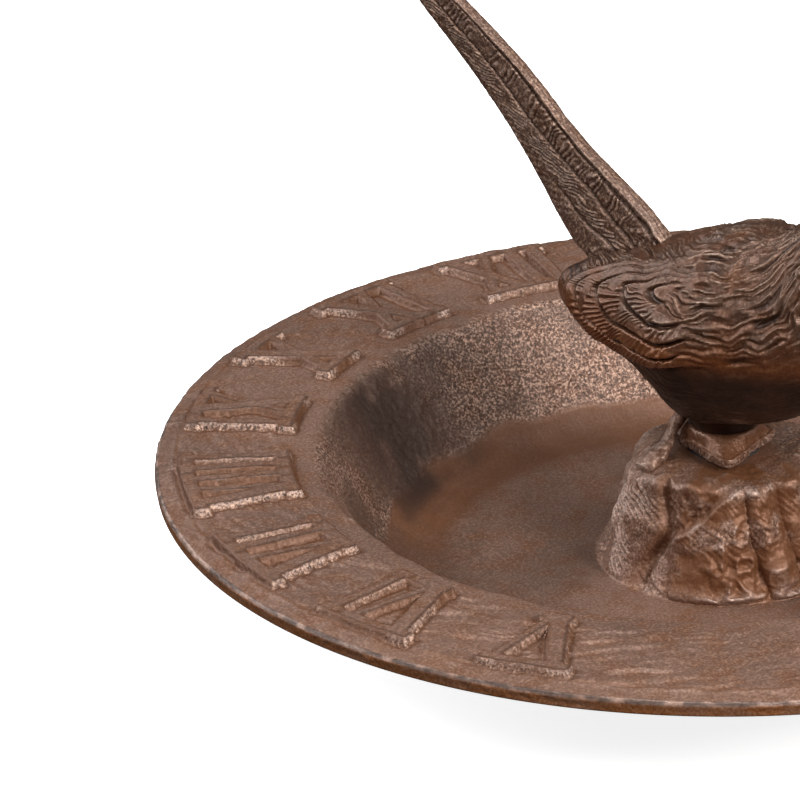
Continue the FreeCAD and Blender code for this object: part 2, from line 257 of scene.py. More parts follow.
def glyphs(centre, letters):
    total = sum(w for _, w in letters)
    a = centre + total / 2
    polys = []
    ri, ro = NUM_R_IN, NUM_R_OUT
    w_i = math.radians(STROKE_DEG) * (ri + ro) / 2
    for ch, w in letters:
        lo, hi = a - w, a
        if ch == "I":
            c = (lo + hi) / 2
            polys.append(stroke(c, ri, c, ro, w_i * 0.92, w_i * 1.08))
            polys.append(arc_bar(lo, hi, ro - NUM_BAR, ro))
            polys.append(arc_bar(lo, hi, ri, ri + NUM_BAR))
        elif ch == "X":
            polys.append(stroke(hi - 1.5, ro - 0.5, lo + 1.5, ri + 0.5, 4.6))
            polys.append(stroke(lo + 1.6, ro - 0.5, hi - 1.6, ri + 0.5, 2.8))
            polys.append(arc_bar(lo, hi, ro - NUM_BAR, ro))
            polys.append(arc_bar(lo, hi, ri, ri + NUM_BAR))
        elif ch == "V":
            apex = lo + w * 0.42
            polys.append(stroke(hi - 1.5, ro - 0.5, apex + 0.4, ri + 0.5, 4.8))
            polys.append(stroke(lo + 1.3, ro - 0.5, apex, ri + 0.5, 2.8))
            polys.append(arc_bar(lo, hi, ro - NUM_BAR, ro))
            polys.append(arc_bar(lo if len(letters) > 1 else apex - 1.9, apex + 2.3, ri, ri + NUM_BAR))
        a = lo
    return polys


def letters(text, v=7.6, x=8.6, i=PITCH_DEG):
    return [(ch, {"I": i, "V": v, "X": x}[ch]) for ch in text]


H = HOURS
NUMERALS = [
    (0.0, letters("XII", x=8.0)),
    (H[0], letters("XI")), (H[1], letters("X")), (H[2], letters("IX", x=7.6)),
    (H[3], letters("VIII", v=6.4)), (H[4], letters("VII", v=7.6)),
    (H[5], letters("VI", v=9.0)), (H[6], letters("V", v=9.6)),
    (-H[0], letters("I", i=4.2)), (-H[1], letters("II", i=PITCH_DEG + 0.7)),
    (-H[2], letters("III")), (-H[3], letters("IIII")),
    (-H[4], letters("V", v=9.6)), (-H[5], letters("VI", v=9.0)),
    (-H[6], letters("VII", v=7.6)),
]


def poly_sdf(pts, poly):
    """Signed distance (mm, negative inside) from pts (n, 2) to a closed polygon."""
    a = poly
    b = np.roll(poly, -1, 0)
    best = np.full(len(pts), 1e9)
    inside = np.zeros(len(pts), bool)
    for (ax, ay), (bx, by) in zip(a, b):
        ex, ey = bx - ax, by - ay
        wx, wy = pts[:, 0] - ax, pts[:, 1] - ay
        t = np.clip((wx * ex + wy * ey) / (ex * ex + ey * ey + 1e-12), 0, 1)
        best = np.minimum(best, (wx - t * ex) ** 2 + (wy - t * ey) ** 2)
        cond = (ay > pts[:, 1]) != (by > pts[:, 1])
        with np.errstate(divide="ignore", invalid="ignore"):
            xi = (bx - ax) * (pts[:, 1] - ay) / (by - ay) + ax
        inside ^= cond & (pts[:, 0] < xi)
    return np.sqrt(best) * np.where(inside, -1, 1)


def numeral_sdf(xy):
    """Signed distance to all numerals, for points (n, 2) in mm."""
    out = np.full(len(xy), 30.0)
    ang = np.degrees(np.arctan2(-xy[:, 0], xy[:, 1]))
    rad = np.hypot(xy[:, 0], xy[:, 1])
    for c, ls in NUMERALS:
        half = sum(w for _, w in ls) / 2 + 3.0
        d = np.abs((ang - c + 180) % 360 - 180)
        m = (d < half) & (rad > NUM_R_IN - 5) & (rad < NUM_R_OUT + 5)
        if not m.any():
            continue
        sub = xy[m]
        best = out[m]
        for g in glyphs(c, ls):
            best = np.minimum(best, poly_sdf(sub, g))
        out[m] = best
    return out - 0.30


# --------------------------------------------------------------------- profiles
def rounded(pts):
    """Closed or open outline with filleted corners: list of (r, z, fillet) -> dense points."""
    out = []
    n = len(pts)
    for i, (r, z, f) in enumerate(pts):
        b = np.array([r, z], float)
        if f <= 0 or i == 0 or i == n - 1:
            out.append(b)
            continue
        a = np.array(pts[i - 1][:2], float)
        c = np.array(pts[i + 1][:2], float)
        u = (a - b) / np.linalg.norm(a - b)
        w = (c - b) / np.linalg.norm(c - b)
        ang = math.acos(np.clip(u @ w, -1, 1))
        d = min(f / math.tan(ang / 2), 0.48 * np.linalg.norm(a - b), 0.48 * np.linalg.norm(c - b))
        f2 = d * math.tan(ang / 2)
        ctr = b + (u + w) / np.linalg.norm(u + w) * f2 / math.sin(ang / 2)
        s, e = b + u * d - ctr, b + w * d - ctr
        t0, t1 = math.atan2(s[1], s[0]), math.atan2(e[1], e[0])
        dt = (t1 - t0 + math.pi) % (2 * math.pi) - math.pi
        k = max(3, int(abs(dt) * f2 / 0.3) + 2)
        for q in np.linspace(0, 1, k):
            out.append(ctr + f2 * np.array([math.cos(t0 + dt * q), math.sin(t0 + dt * q)]))
    return np.array(out)


def resample(line, step):
    """Points along a polyline at a spacing; step may be a function of (r, z)."""
    seg = np.linalg.norm(np.diff(line, axis=0), axis=1)
    s = np.concatenate([[0], np.cumsum(seg)])
    dense = np.linspace(0, s[-1], max(400, int(s[-1] / 0.05)))
    P = np.stack([np.interp(dense, s, line[:, 0]), np.interp(dense, s, line[:, 1])], 1)
    st = np.array([step(*p) for p in P]) if callable(step) else np.full(len(P), step)
    w = np.concatenate([[0], np.cumsum(np.diff(dense) / ((st[1:] + st[:-1]) / 2))])
    n = max(2, int(round(w[-1])) + 1)
    t = np.interp(np.linspace(0, w[-1], n), w, dense)
    return np.stack([np.interp(t, s, line[:, 0]), np.interp(t, s, line[:, 1])], 1)


Q = 1.0


# -------------------------------------------------------------------- relief map
def relief(ob, scale_mm, rounds, key="relief"):
    """Stores how far each point stands above its smoothed surroundings, about -1..1."""
    me = ob.data
    n = len(me.vertices)
    P = np.empty(n * 3, np.float32)
    me.vertices.foreach_get("co", P)
    P = P.reshape(-1, 3).astype(np.float64)
    N = np.empty(n * 3, np.float32)
    me.vertices.foreach_get("normal", N)
    N = N.reshape(-1, 3)
    E = np.empty(len(me.edges) * 2, np.int32)
    me.edges.foreach_get("vertices", E)
    a, b = E.reshape(-1, 2).T
    deg = np.bincount(a, minlength=n) + np.bincount(b, minlength=n)
    deg = np.maximum(deg, 1)[:, None]
    S = P.copy()
    for _ in range(rounds):
        acc = np.stack([np.bincount(a, S[b, k], n) + np.bincount(b, S[a, k], n) for k in range(3)], 1)
        S = 0.35 * S + 0.65 * acc / deg
    d = ((P - S) * N).sum(1) / (scale_mm * MM)
    at = me.attributes.get(key) or me.attributes.new(key, "FLOAT", "POINT")
    at.data.foreach_set("value", np.clip(d, -1.5, 1.5).astype(np.float32))


# ================================================================== DIAL BASIN
CAM_A = math.radians(24.6)
FLOOR_Z = RIM_Z - 32.0
MOUND_TOP = PLATE_Z0 - 1.5
ROOT_EDGES = np.array([14.0, 58.0, 121.0, 168.0, 190.0, 216.0, 243.0, 270.0, 297.0, 324.0, 352.0])


def root_coord(theta_deg):
    """Root's index and the position across it, -1..1."""
    t = np.asarray(theta_deg) % 360
    n = len(ROOT_EDGES)
    k = np.searchsorted(ROOT_EDGES, t)
    ext = np.concatenate([[ROOT_EDGES[-1] - 360], ROOT_EDGES, [ROOT_EDGES[0] + 360]])
    lo, hi = ext[k], ext[k + 1]
    return k % n, (2 * t - lo - hi) / (hi - lo)


def basin_point(r, z, nr, nz, th, zone):
    """Displaced points for rings at (r, z) with profile normal (nr, nz); th in degrees."""
    R, T = np.meshgrid(r, th, indexing="ij")
    Z = np.repeat(z[:, None], len(th), 1)
    NR = np.repeat(nr[:, None], len(th), 1)
    NZ = np.repeat(nz[:, None], len(th), 1)
    t = np.radians(T)
    base = np.stack([-np.sin(t) * R, np.cos(t) * R, Z], -1)
    shp = R.shape
    p = base.reshape(-1, 3)
    r_, z_, t_ = R.ravel(), Z.ravel(), T.ravel()
    nr_, nz_ = NR.ravel(), NZ.ravel()
    xc = p[:, 0] * math.cos(CAM_A) - p[:, 1] * math.sin(CAM_A)
    yc = p[:, 0] * math.sin(CAM_A) + p[:, 1] * math.cos(CAM_A)
    disp = np.zeros(len(p))          # along the profile normal
    rad = np.zeros(len(p))           # outwards
    lift = np.zeros(len(p))          # upwards
    if zone == "mound":
        side = sstep(21, 26, r_) * (1 - sstep(31.5, 34.5, r_))
        crown = sstep(12.5, 16, r_) * (1 - sstep(27, 31, r_))
        tw = t_ + (z_ - 20) * 0.35 + 4.0 * noise(p, 14, 3)
        tw2 = tw + 1.3 * np.maximum(24.0 - z_, 0) * bell(tw, 112, 16)
        k, d = root_coord(tw2)
        bulge = np.sqrt(np.clip(1 - d * d, 0, 1))
        rad += side * (3.3 * bulge - 2.0) * lerp(0.65, 1.1, sstep(36, 14, z_))
        # broken ledges across some of the roots
        rng = np.random.default_rng(5)
        zl = 17 + 12 * rng.random(64)
        zl[3] = 27.0
        lev = zl[k] + 1.5 * noise(p, 5, 9)
        far = (k >= 4) | (k < 2)
        rad += side * 1.2 * sstep(0.7, -0.7, z_ - lev) * far * (k % 2 == 0)
        rad -= side * 1.1 * bell(z_, lev - 7, 1.1) * far
        # the broken ledge that climbs across the front
        led = 24.6 + 0.36 * (tw - 126.0) + 0.8 * noise(p, 4, 13)
        fr = side * sstep(119, 124, tw) * sstep(186, 172, tw)
        rad += fr * (1.7 * sstep(0.55, -0.45, z_ - led) + 0.5 * bell(z_, led - 0.7, 0.7) - 0.5)
        rad -= fr * 0.9 * bell(z_, led + 1.6, 1.1)
        chunk = fr * np.maximum(sstep(0.0, 1.5, z_ - led) * sstep(124, 136, tw), sstep(-7, -10, z_ - led) * sstep(132, 146, tw))
        disp += chunk * (0.9 * ridged(p, 3.4, 14) + 0.5 * fbm(p, 2.0, 2, 15))
        gl = 119.0 - 1.3 * np.maximum(24.0 - z_, 0)
        rad -= side * 2.4 * bell(tw, gl, 2.6) * sstep(12, 20, z_)
        # bark: slanting hatch, broken up
        s_len = np.radians(tw) * 33.0
        ph = (z_ * 0.82 + s_len * 0.62) / 1.75 + 0.9 * noise(p, 5, 11)
        amp = (0.14 + 0.34 * (k == 2) * sstep(0.95, 0.4, np.abs(d))) * sstep(-0.35, 0.25, noise(p, 6, 12)) * sstep(36.5, 34.0, z_)
        disp += side * amp * np.sin(2 * math.pi * ph)
        rough = np.where(k >= 3, 0.9, 0.5)
        disp += side * (rough * 0.85 * fbm(p, 5.5, 3, 20) + 0.15 * fbm(p, 1.5, 2, 24))
        # crown: uneven lumps, raised knob on the west side
        disp += crown * (1.1 * fbm(p, 7, 3, 30) + 0.25 * fbm(p, 1.7, 2, 33))
        ang = (t_ - 77 + 180) % 360 - 180
        lift += 0.5 * bell(ang, 0, 26) * bell(r_, 20.5, 3.0)
        west_ = bell((t_ - 60 + 180) % 360 - 180, 0, 36)
        lift -= 4.4 * west_ * sstep(17.5, 26, r_) * sstep(22.0, 33.0, z_)
        ang2 = (t_ - 250 + 180) % 360 - 180
        lift += 1.5 * bell(ang2, 0, 30) * bell(r_, 23, 4.6)
        # three small slits in the knot
        for j in range(3):
            cx, cy = -15.2 + 0.5 * j, -9.8 - 1.9 * j
            disp -= 0.8 * bell(xc, cx, 1.5) * bell(yc, cy, 0.42)
        # foot of the mound on the floor
        floor = sstep(34, 44, r_) * (1 - sstep(51, 58.5, r_))
        lift += floor * (0.30 * fbm(p, 16, 2, 40) + 0.05 * noise(p, 2.5, 44))
        fl = sstep(38, 46, r_) * (1 - sstep(46, 56, r_))
        rad += fl * 0.15 * noise(p, 7, 45)
    elif zone == "bowl":
        wall = sstep(76, 90, r_)
        back = sstep(-20, 40, yc)
        lift += (1 - wall) * sstep(60, 67, r_) * (0.34 * fbm(p, 24, 3, 50) + 0.05 * noise(p, 2.6, 53))
        gr_ = sstep(89.2, 90.6, r_ + 1.3 * noise(p, 13, 221))
        disp += wall * (1 - sstep(105, 111, r_)) * (0.34 * fbm(p, 13, 2, 54)
                                                    + (0.05 + 0.24 * back * gr_) * fbm(p, 1.7, 2, 56)
                                                    + 0.40 * back * gr_)
        # casting ring at the foot of the wall
        lift += 0.35 * bell(r_, 79.5 + 0.9 * noise(p, 18, 58), 1.3) * sstep(-0.3, 0.4, noise(p, 40, 59))
        wv = sstep(98, 108, r_)
        rad += wv * (1.0 * noise(p * [1, 1, 0], 13, 60) + 0.45 * noise(p * [1, 1, 0], 5.5, 61))
    elif zone == "rim":
        top = sstep(35.6, 37.2, z_)
        lipw = 1 - sstep(111, 115, r_)
        rad += lipw * (1.0 * noise(p * [1, 1, 0], 13, 60) + 0.45 * noise(p * [1, 1, 0], 5.5, 61))
        q = p[:, :2] + 0.30 * np.stack([noise(p, 3.2, 70), noise(p, 3.2, 71)], 1) \
            + 0.12 * np.stack([noise(p, 1.1, 72), noise(p, 1.1, 73)], 1)
        sd = numeral_sdf(q)
        rise = sstep(0.50, -0.34, sd + 0.10 * noise(p, 0.8, 84))
        flat = 1 - rise
        # rim field: uneven, with wrinkles that run round the dial
        tang = np.stack([r_, np.radians(t_) * 130.0, z_ * 0], 1)
        sk = tang.copy()
        sk[:, 0] += 0.42 * tang[:, 1]
        wr = ridged(sk + 2.2 * np.stack([noise(p, 9, 74)] * 3, 1), (2.6, 11, 9), 75)
        south = sstep(0.1, 0.7, 0.5 + 0.5 * noise(p, 30, 76) + 0.35 * sstep(20, -60, yc))
        band = sstep(144.2, 146.0, r_)
        lift += top * flat * sstep(112.3, 114.5, r_) * (0.34 * fbm(p, 15, 2, 77) + 0.52 * south * wr * (1 - band)
                              + 0.22 * fbm(p, 5.2, 2, 87) + 0.13 * fbm(p, 1.9, 2, 78))
        lift += top * rise * (NUM_H * 0.97 + 0.10 * noise(p, 2.2, 79) + 0.14 * noise(p, 8, 80))
        # rough drafted letter walls
        edge = rise * (1 - rise) * 4
        lift += edge * (0.45 * noise(p, 0.8, 81) + 0.22 * noise(p, 2.0, 86))
        # scoured edge of the letters' foot
        lift -= top * 0.14 * bell(sd, 0.9, 0.7)
        # plain outer band: short radial dragged marks
        lift += top * band * 0.14 * noise(tang, (5, 1.3, 5), 82)
        lift -= top * 0.22 * bell(r_, 144.3 + 0.4 * noise(p, 9, 88), 0.55)
        e = sstep(148.6, 149.6, r_) * sstep(35.5, 36.6, z_)
        disp += e * (0.16 * noise(p, (2.0, 2.0, 1.6), 83) - 0.08)
    elif zone == "under":
        disp += 0.28 * (fbm(p, 12, 2, 90)) * sstep(0.4, 2.5, z_) * (1 - sstep(146, 149.4, r_))
        for kk in range(3):
            bx, by = pol(60 + 120 * kk, 66.0)
            dd = np.hypot(p[:, 0] - bx, p[:, 1] - by)
            lift += -(z_) * sstep(9.6, 8.4, dd) * sstep(8, 3.6, z_)
    rr = r_ + rad + disp * nr_
    zz = z_ + lift + disp * nz_
    if zone == "mound":
        zz = np.where(r_ < 12.4, np.minimum(zz, MOUND_TOP), zz)
    if zone == "under":
        zz = np.maximum(zz, 0.0)
    if zone == "rim":
        rr = np.minimum(rr, RIM_R + 0.25)
    tt = np.radians(t_)
    out = np.stack([-np.sin(tt) * rr, np.cos(tt) * rr, zz], 1)
    return out.reshape(shp + (3,))


def build_basin():
    s = math.tan(math.radians(59.0))
    ct = 106.4
    ci = ct - 32.0 / s
    mound = rounded([(4.5, MOUND_TOP, 0), (13.0, MOUND_TOP, 3), (19.5, 38.1, 5), (25.0, 37.2, 2.4),
                     (26.9, 28.0, 12), (30.0, 14.0, 12), (32.6, FLOOR_Z + 0.2, 3.2), (60.0, FLOOR_Z, 0)])
    bowl = rounded([(60.0, FLOOR_Z, 0), (ci, FLOOR_Z, 20), (ct, RIM_Z, 8), (112.5, RIM_Z, 0)])
    rim = rounded([(112.5, RIM_Z, 0), (144.4, RIM_Z, 4), (149.4, RIM_Z - 1.1, 0.9), (150.0, RIM_Z - 2.0, 0.6),
                   (149.65, RIM_Z - 4.6, 0)])
    nx, nz = math.sin(math.radians(59)) * 5, math.cos(math.radians(59)) * 5

    def outer_r(z):
        return ct + nx - (RIM_Z - nz - z) / s
    bottom = FLOOR_Z - 5
    under = rounded([(149.65, RIM_Z - 4.6, 0), (149.2, RIM_Z - 5.0, 0.4), (outer_r(RIM_Z - 5), RIM_Z - 5, 6),
                     (outer_r(bottom), bottom, 24), (70.0, bottom, 1.2), (69.2, 0.0, 0.6), (62.8, 0.0, 0.6),
                     (62.0, bottom, 1.2), (14.6, bottom, 0.8), (13.5, 30.9, 2.0), (4.5, 30.9, 0),
                     (4.5, MOUND_TOP, 0)])
    zones = [
        ("mound", resample(mound, lambda r, z: (0.55 if r < 46 else 1.0) * Q), int(620 / Q)),
        ("bowl", resample(bowl, lambda r, z: (1.0 if r < 82 else 0.55) * Q), int(980 / Q)),
        ("rim", resample(rim, lambda r, z: (0.40 if 113 < r < 144.6 else 0.55 if r < 148 else 0.34) * Q), None),
        ("under", resample(under, lambda r, z: (1.5 if r > 74 else 0.9) * Q), int(300 / Q)),
    ]
    # angles of the rim zone: dense over the numerals
    marks = np.linspace(0, 360, 14401)[:-1]
    step = np.full(len(marks), 0.46)
    for c, ls in NUMERALS:
        half = sum(w for _, w in ls) / 2 + 0.6
        d = np.abs((marks - c + 180) % 360 - 180)
        step[d < half] = 0.185
    w = np.concatenate([[0], np.cumsum((360 / 14400.0) / (step * Q))])
    n = int(round(w[-1]))
    rim_ang = np.interp(np.arange(n) * w[-1] / n, w, np.append(marks, 360.0))
    verts, faces, rings, off = [], [], [], 0
    for name, line, m in zones:
        th = rim_ang if m is None else np.arange(m) * 360.0 / m
        d = np.gradient(line, axis=0)
        d /= np.maximum(np.linalg.norm(d, axis=1, keepdims=True), 1e-9)
        nr_, nz_ = -d[:, 1], d[:, 0]
        if name != "mound":          # rings shared with the zone before are built once
            line, nr_, nz_ = line[1:], nr_[1:], nz_[1:]
        if name == "under":
            line, nr_, nz_ = line[:-1], nr_[:-1], nz_[:-1]
        P = basin_point(line[:, 0], line[:, 1], nr_, nz_, th, name)
        verts.append(P.reshape(-1, 3))
        nrw, ncw = P.shape[:2]
        faces.append(grid_faces(nrw, ncw, base=off))
        rings.append((off, off + (nrw - 1) * ncw, ncw, np.radians(th)))
        off += nrw * ncw
    # close the last ring onto the first (the bolt hole)
    tri = []
    for a in range(4):
        b = (a + 1) % 4
        ia = rings[a][1] + np.arange(rings[a][2])
        ib = rings[b][0] + np.arange(rings[b][2])
        tri.append(zipper(ia, rings[a][3], ib, rings[b][3]))
    V = np.concatenate(verts)
    quads = np.concatenate(faces)
    tris = np.concatenate(tri)
    ob = mesh_object("dial_basin_cast", V, [quads, tris])
    return ob


# ======================================================================== BIRD
def fig(u, v, z):
    """Figure frame (u forward, v to its right, z above the rim plane) to row frame, mm."""
    u, v, z = np.broadcast_arrays(*(np.asarray(q, float) for q in (u, v, z)))
    P = u[..., None] * HEAD + v[..., None] * SIDE
    P[..., 2] += RIM_Z + z
    return P


def smooth_curve(keys, t):
    """Catmull-Rom through rows of keys, t in 0..len-1."""
    K = np.asarray(keys, float)
    n = len(K)
    i = np.clip(np.floor(t).astype(int), 0, n - 2)
    f = (t - i)[:, None]
    p0, p1, p2, p3 = K[np.maximum(i - 1, 0)], K[i], K[i + 1], K[np.minimum(i + 2, n - 1)]
    return 0.5 * (2 * p1 + (p2 - p0) * f + (2 * p0 - 5 * p1 + 4 * p2 - p3) * f ** 2
                  + (3 * p1 - p0 - 3 * p2 + p3) * f ** 3)


# u, centre z, half height, half width, tilt
BODY = (
    (-48.7, 38.0, 0.3, 0.4, 14), (-47.8, 36.9, 3.2, 3.7, 14), (-45.2, 36.2, 5.8, 6.4, 13),
    (-41.0, 36.2, 8.7, 9.4, 11), (-35.5, 36.3, 11.3, 11.8, 9), (-29.0, 35.3, 14.6, 14.8, 7),
    (-21.5, 35.0, 17.3, 17.3, 5), (-13.0, 34.2, 21.7, 21.7, 2), (-3.0, 32.0, 26.4, 26.4, 0),
    (8.0, 34.0, 27.2, 26.8, -3), (18.0, 35.9, 26.0, 25.2, -10), (28.0, 41.0, 23.4, 22.6, -22),
    (36.0, 48.6, 19.8, 19.0, -34), (41.5, 56.0, 17.5, 17.0, -40),
    (47.0, 62.0, 16.6, 16.6, -36), (53.5, 66.0, 14.4, 14.6, -24), (59.0, 67.8, 10.8, 11.0, -14),
    (62.6, 68.4, 6.8, 7.0, -10), (64.6, 68.6, 3.6, 3.6, -8), (65.2, 68.6, 0.4, 0.4, -8),
)
WING_P = np.array([-1.0, 50.5])
WING_E1 = np.array([-0.961, -0.276])          # towards the wing tip
WING_E2 = np.array([0.276, -0.961])           # down over the flank
BANDS = np.array([0.0, 3.0, 7.4, 11.8, 15.6, 18.8])


def wing_coords(u, z):
    a = (u - WING_P[0]) * WING_E1[0] + (z - WING_P[1]) * WING_E1[1]
    b = (u - WING_P[0]) * WING_E2[0] + (z - WING_P[1]) * WING_E2[1]
    aa = np.interp(a, (0, 10.0, 20.5, 30.0, 37.5, 43.0, 60.0), (0, 3.0, 7.4, 11.8, 15.6, 18.8, 28.0))
    bb = np.where(b > 0, b, -3.3 * b)
    d = np.hypot(aa, bb)
    al = np.arctan2(b * np.where(b > 0, 1, 3.3), np.maximum(aa, 1e-6))
    return a, b, d, al


def bird_height(u, v, z, along, across, P):
    """Height of the plumage above the plain body in mm, and how deep in a groove it lies."""
    wob = 1.1 * noise(P, 8, 110) + 0.4 * noise(P, 3.0, 111)
    a, b, d, al = wing_coords(u + 1.0 * noise(P, 10, 112), z + 0.6 * wob)
    d = d + 0.5 * noise(P, 5.5, 116)
    inwing = (1 - sstep(18.5, 19.3, d))
    root = 2.0 + 5.0 * noise(P, 6, 117) + 0.10 * d
    rear = sstep(root - 5, root + 3, a)
    k = np.clip(np.searchsorted(BANDS, d) - 1, 0, len(BANDS) - 2)
    d0, d1 = BANDS[k], BANDS[k + 1]
    t = np.clip((d - d0) / (d1 - d0), 0, 1)
    # each feather: rises out of a groove, highest towards its lower edge, then drops
    up = sstep(0.0, 0.22, t)
    lath = up * (0.55 + 0.75 * t) * (1 - sstep(0.86, 1.0, t))
    groove = np.maximum(1 - up, sstep(0.84, 0.97, t))
    tipm = sstep(0.98, 0.75, t)
    side = 0.22 + 0.78 * sstep(-3.0, 1.5, b)         # the upper edges of the feathers are fainter
    h = inwing * rear * side * (1.35 * lath - 0.45 * groove) * np.array([0.75, 1.0, 1.15, 1.15, 1.0])[k]
    # barbs slant back across each feather
    sarc = al * (d0 + d1) * 0.5 * (1.5 - 0.5 * np.cos(2 * al))
    ph = sarc / 1.9 + 0.9 * t + 0.35 * noise(P, 3.0, 114) + k * 0.37
    barb = np.sin(2 * math.pi * ph)
    mod = sstep(-0.60, 0.10, noise(P, 3.0, 115))
    h += inwing * rear * 0.30 * barb * mod * up * tipm * sstep(2.4, 4.0, d) * sstep(-3.0, 1.0, b)
    # wavy plumage ahead of the wing's root, over shoulder, flank and breast
    q = np.stack([along, across, v * 0.0], 1)
    warp = np.stack([noise(P, 6, 120), noise(P, 5, 121), noise(P, 7, 122)], 1)
    q2 = q + warp * np.array([1.6, 1.5, 0.0])
    q2[:, 1] += 0.16 * (along - 60.0) * sstep(20, -10, z - 44)
    r1 = ridged(q2, (11.0, 1.25, 9.0), 123)
    r2 = ridged(q2 + 3.3, (6.0, 0.80, 9.0), 124)
    hair = r1 + 0.5 * r2
    headm = sstep(30, 40, u)
    hair2 = ridged(q2, (3.6, 1.3, 9.0), 125)
    wingz = inwing * rear
    body = 1 - wingz
    belly = np.where(v < 40, sstep(18.3, 19.6, d) * sstep(44, 30, z), 0) * (1 - headm)
    back = sstep(49, 55, z) * sstep(2, -16, u)
    amp = 0.80 * (1 - 0.72 * belly) * (1 - 0.70 * back)
    amp = amp * sstep(-44, -34, u)
    h += body * (1 - headm) * amp * hair * 0.9
    h += headm * 0.25 * hair2 * sstep(66, 60, u)
    # fine surface of the casting
    h += 0.13 * fbm(P, 1.5, 2, 130) + 0.18 * fbm(P, 7, 2, 132)
    deep = np.maximum(wingz * groove * side, body * (1 - headm) * (1 - belly) * (1 - back) * sstep(0.25, -0.55, r1))
    return h, deep, belly


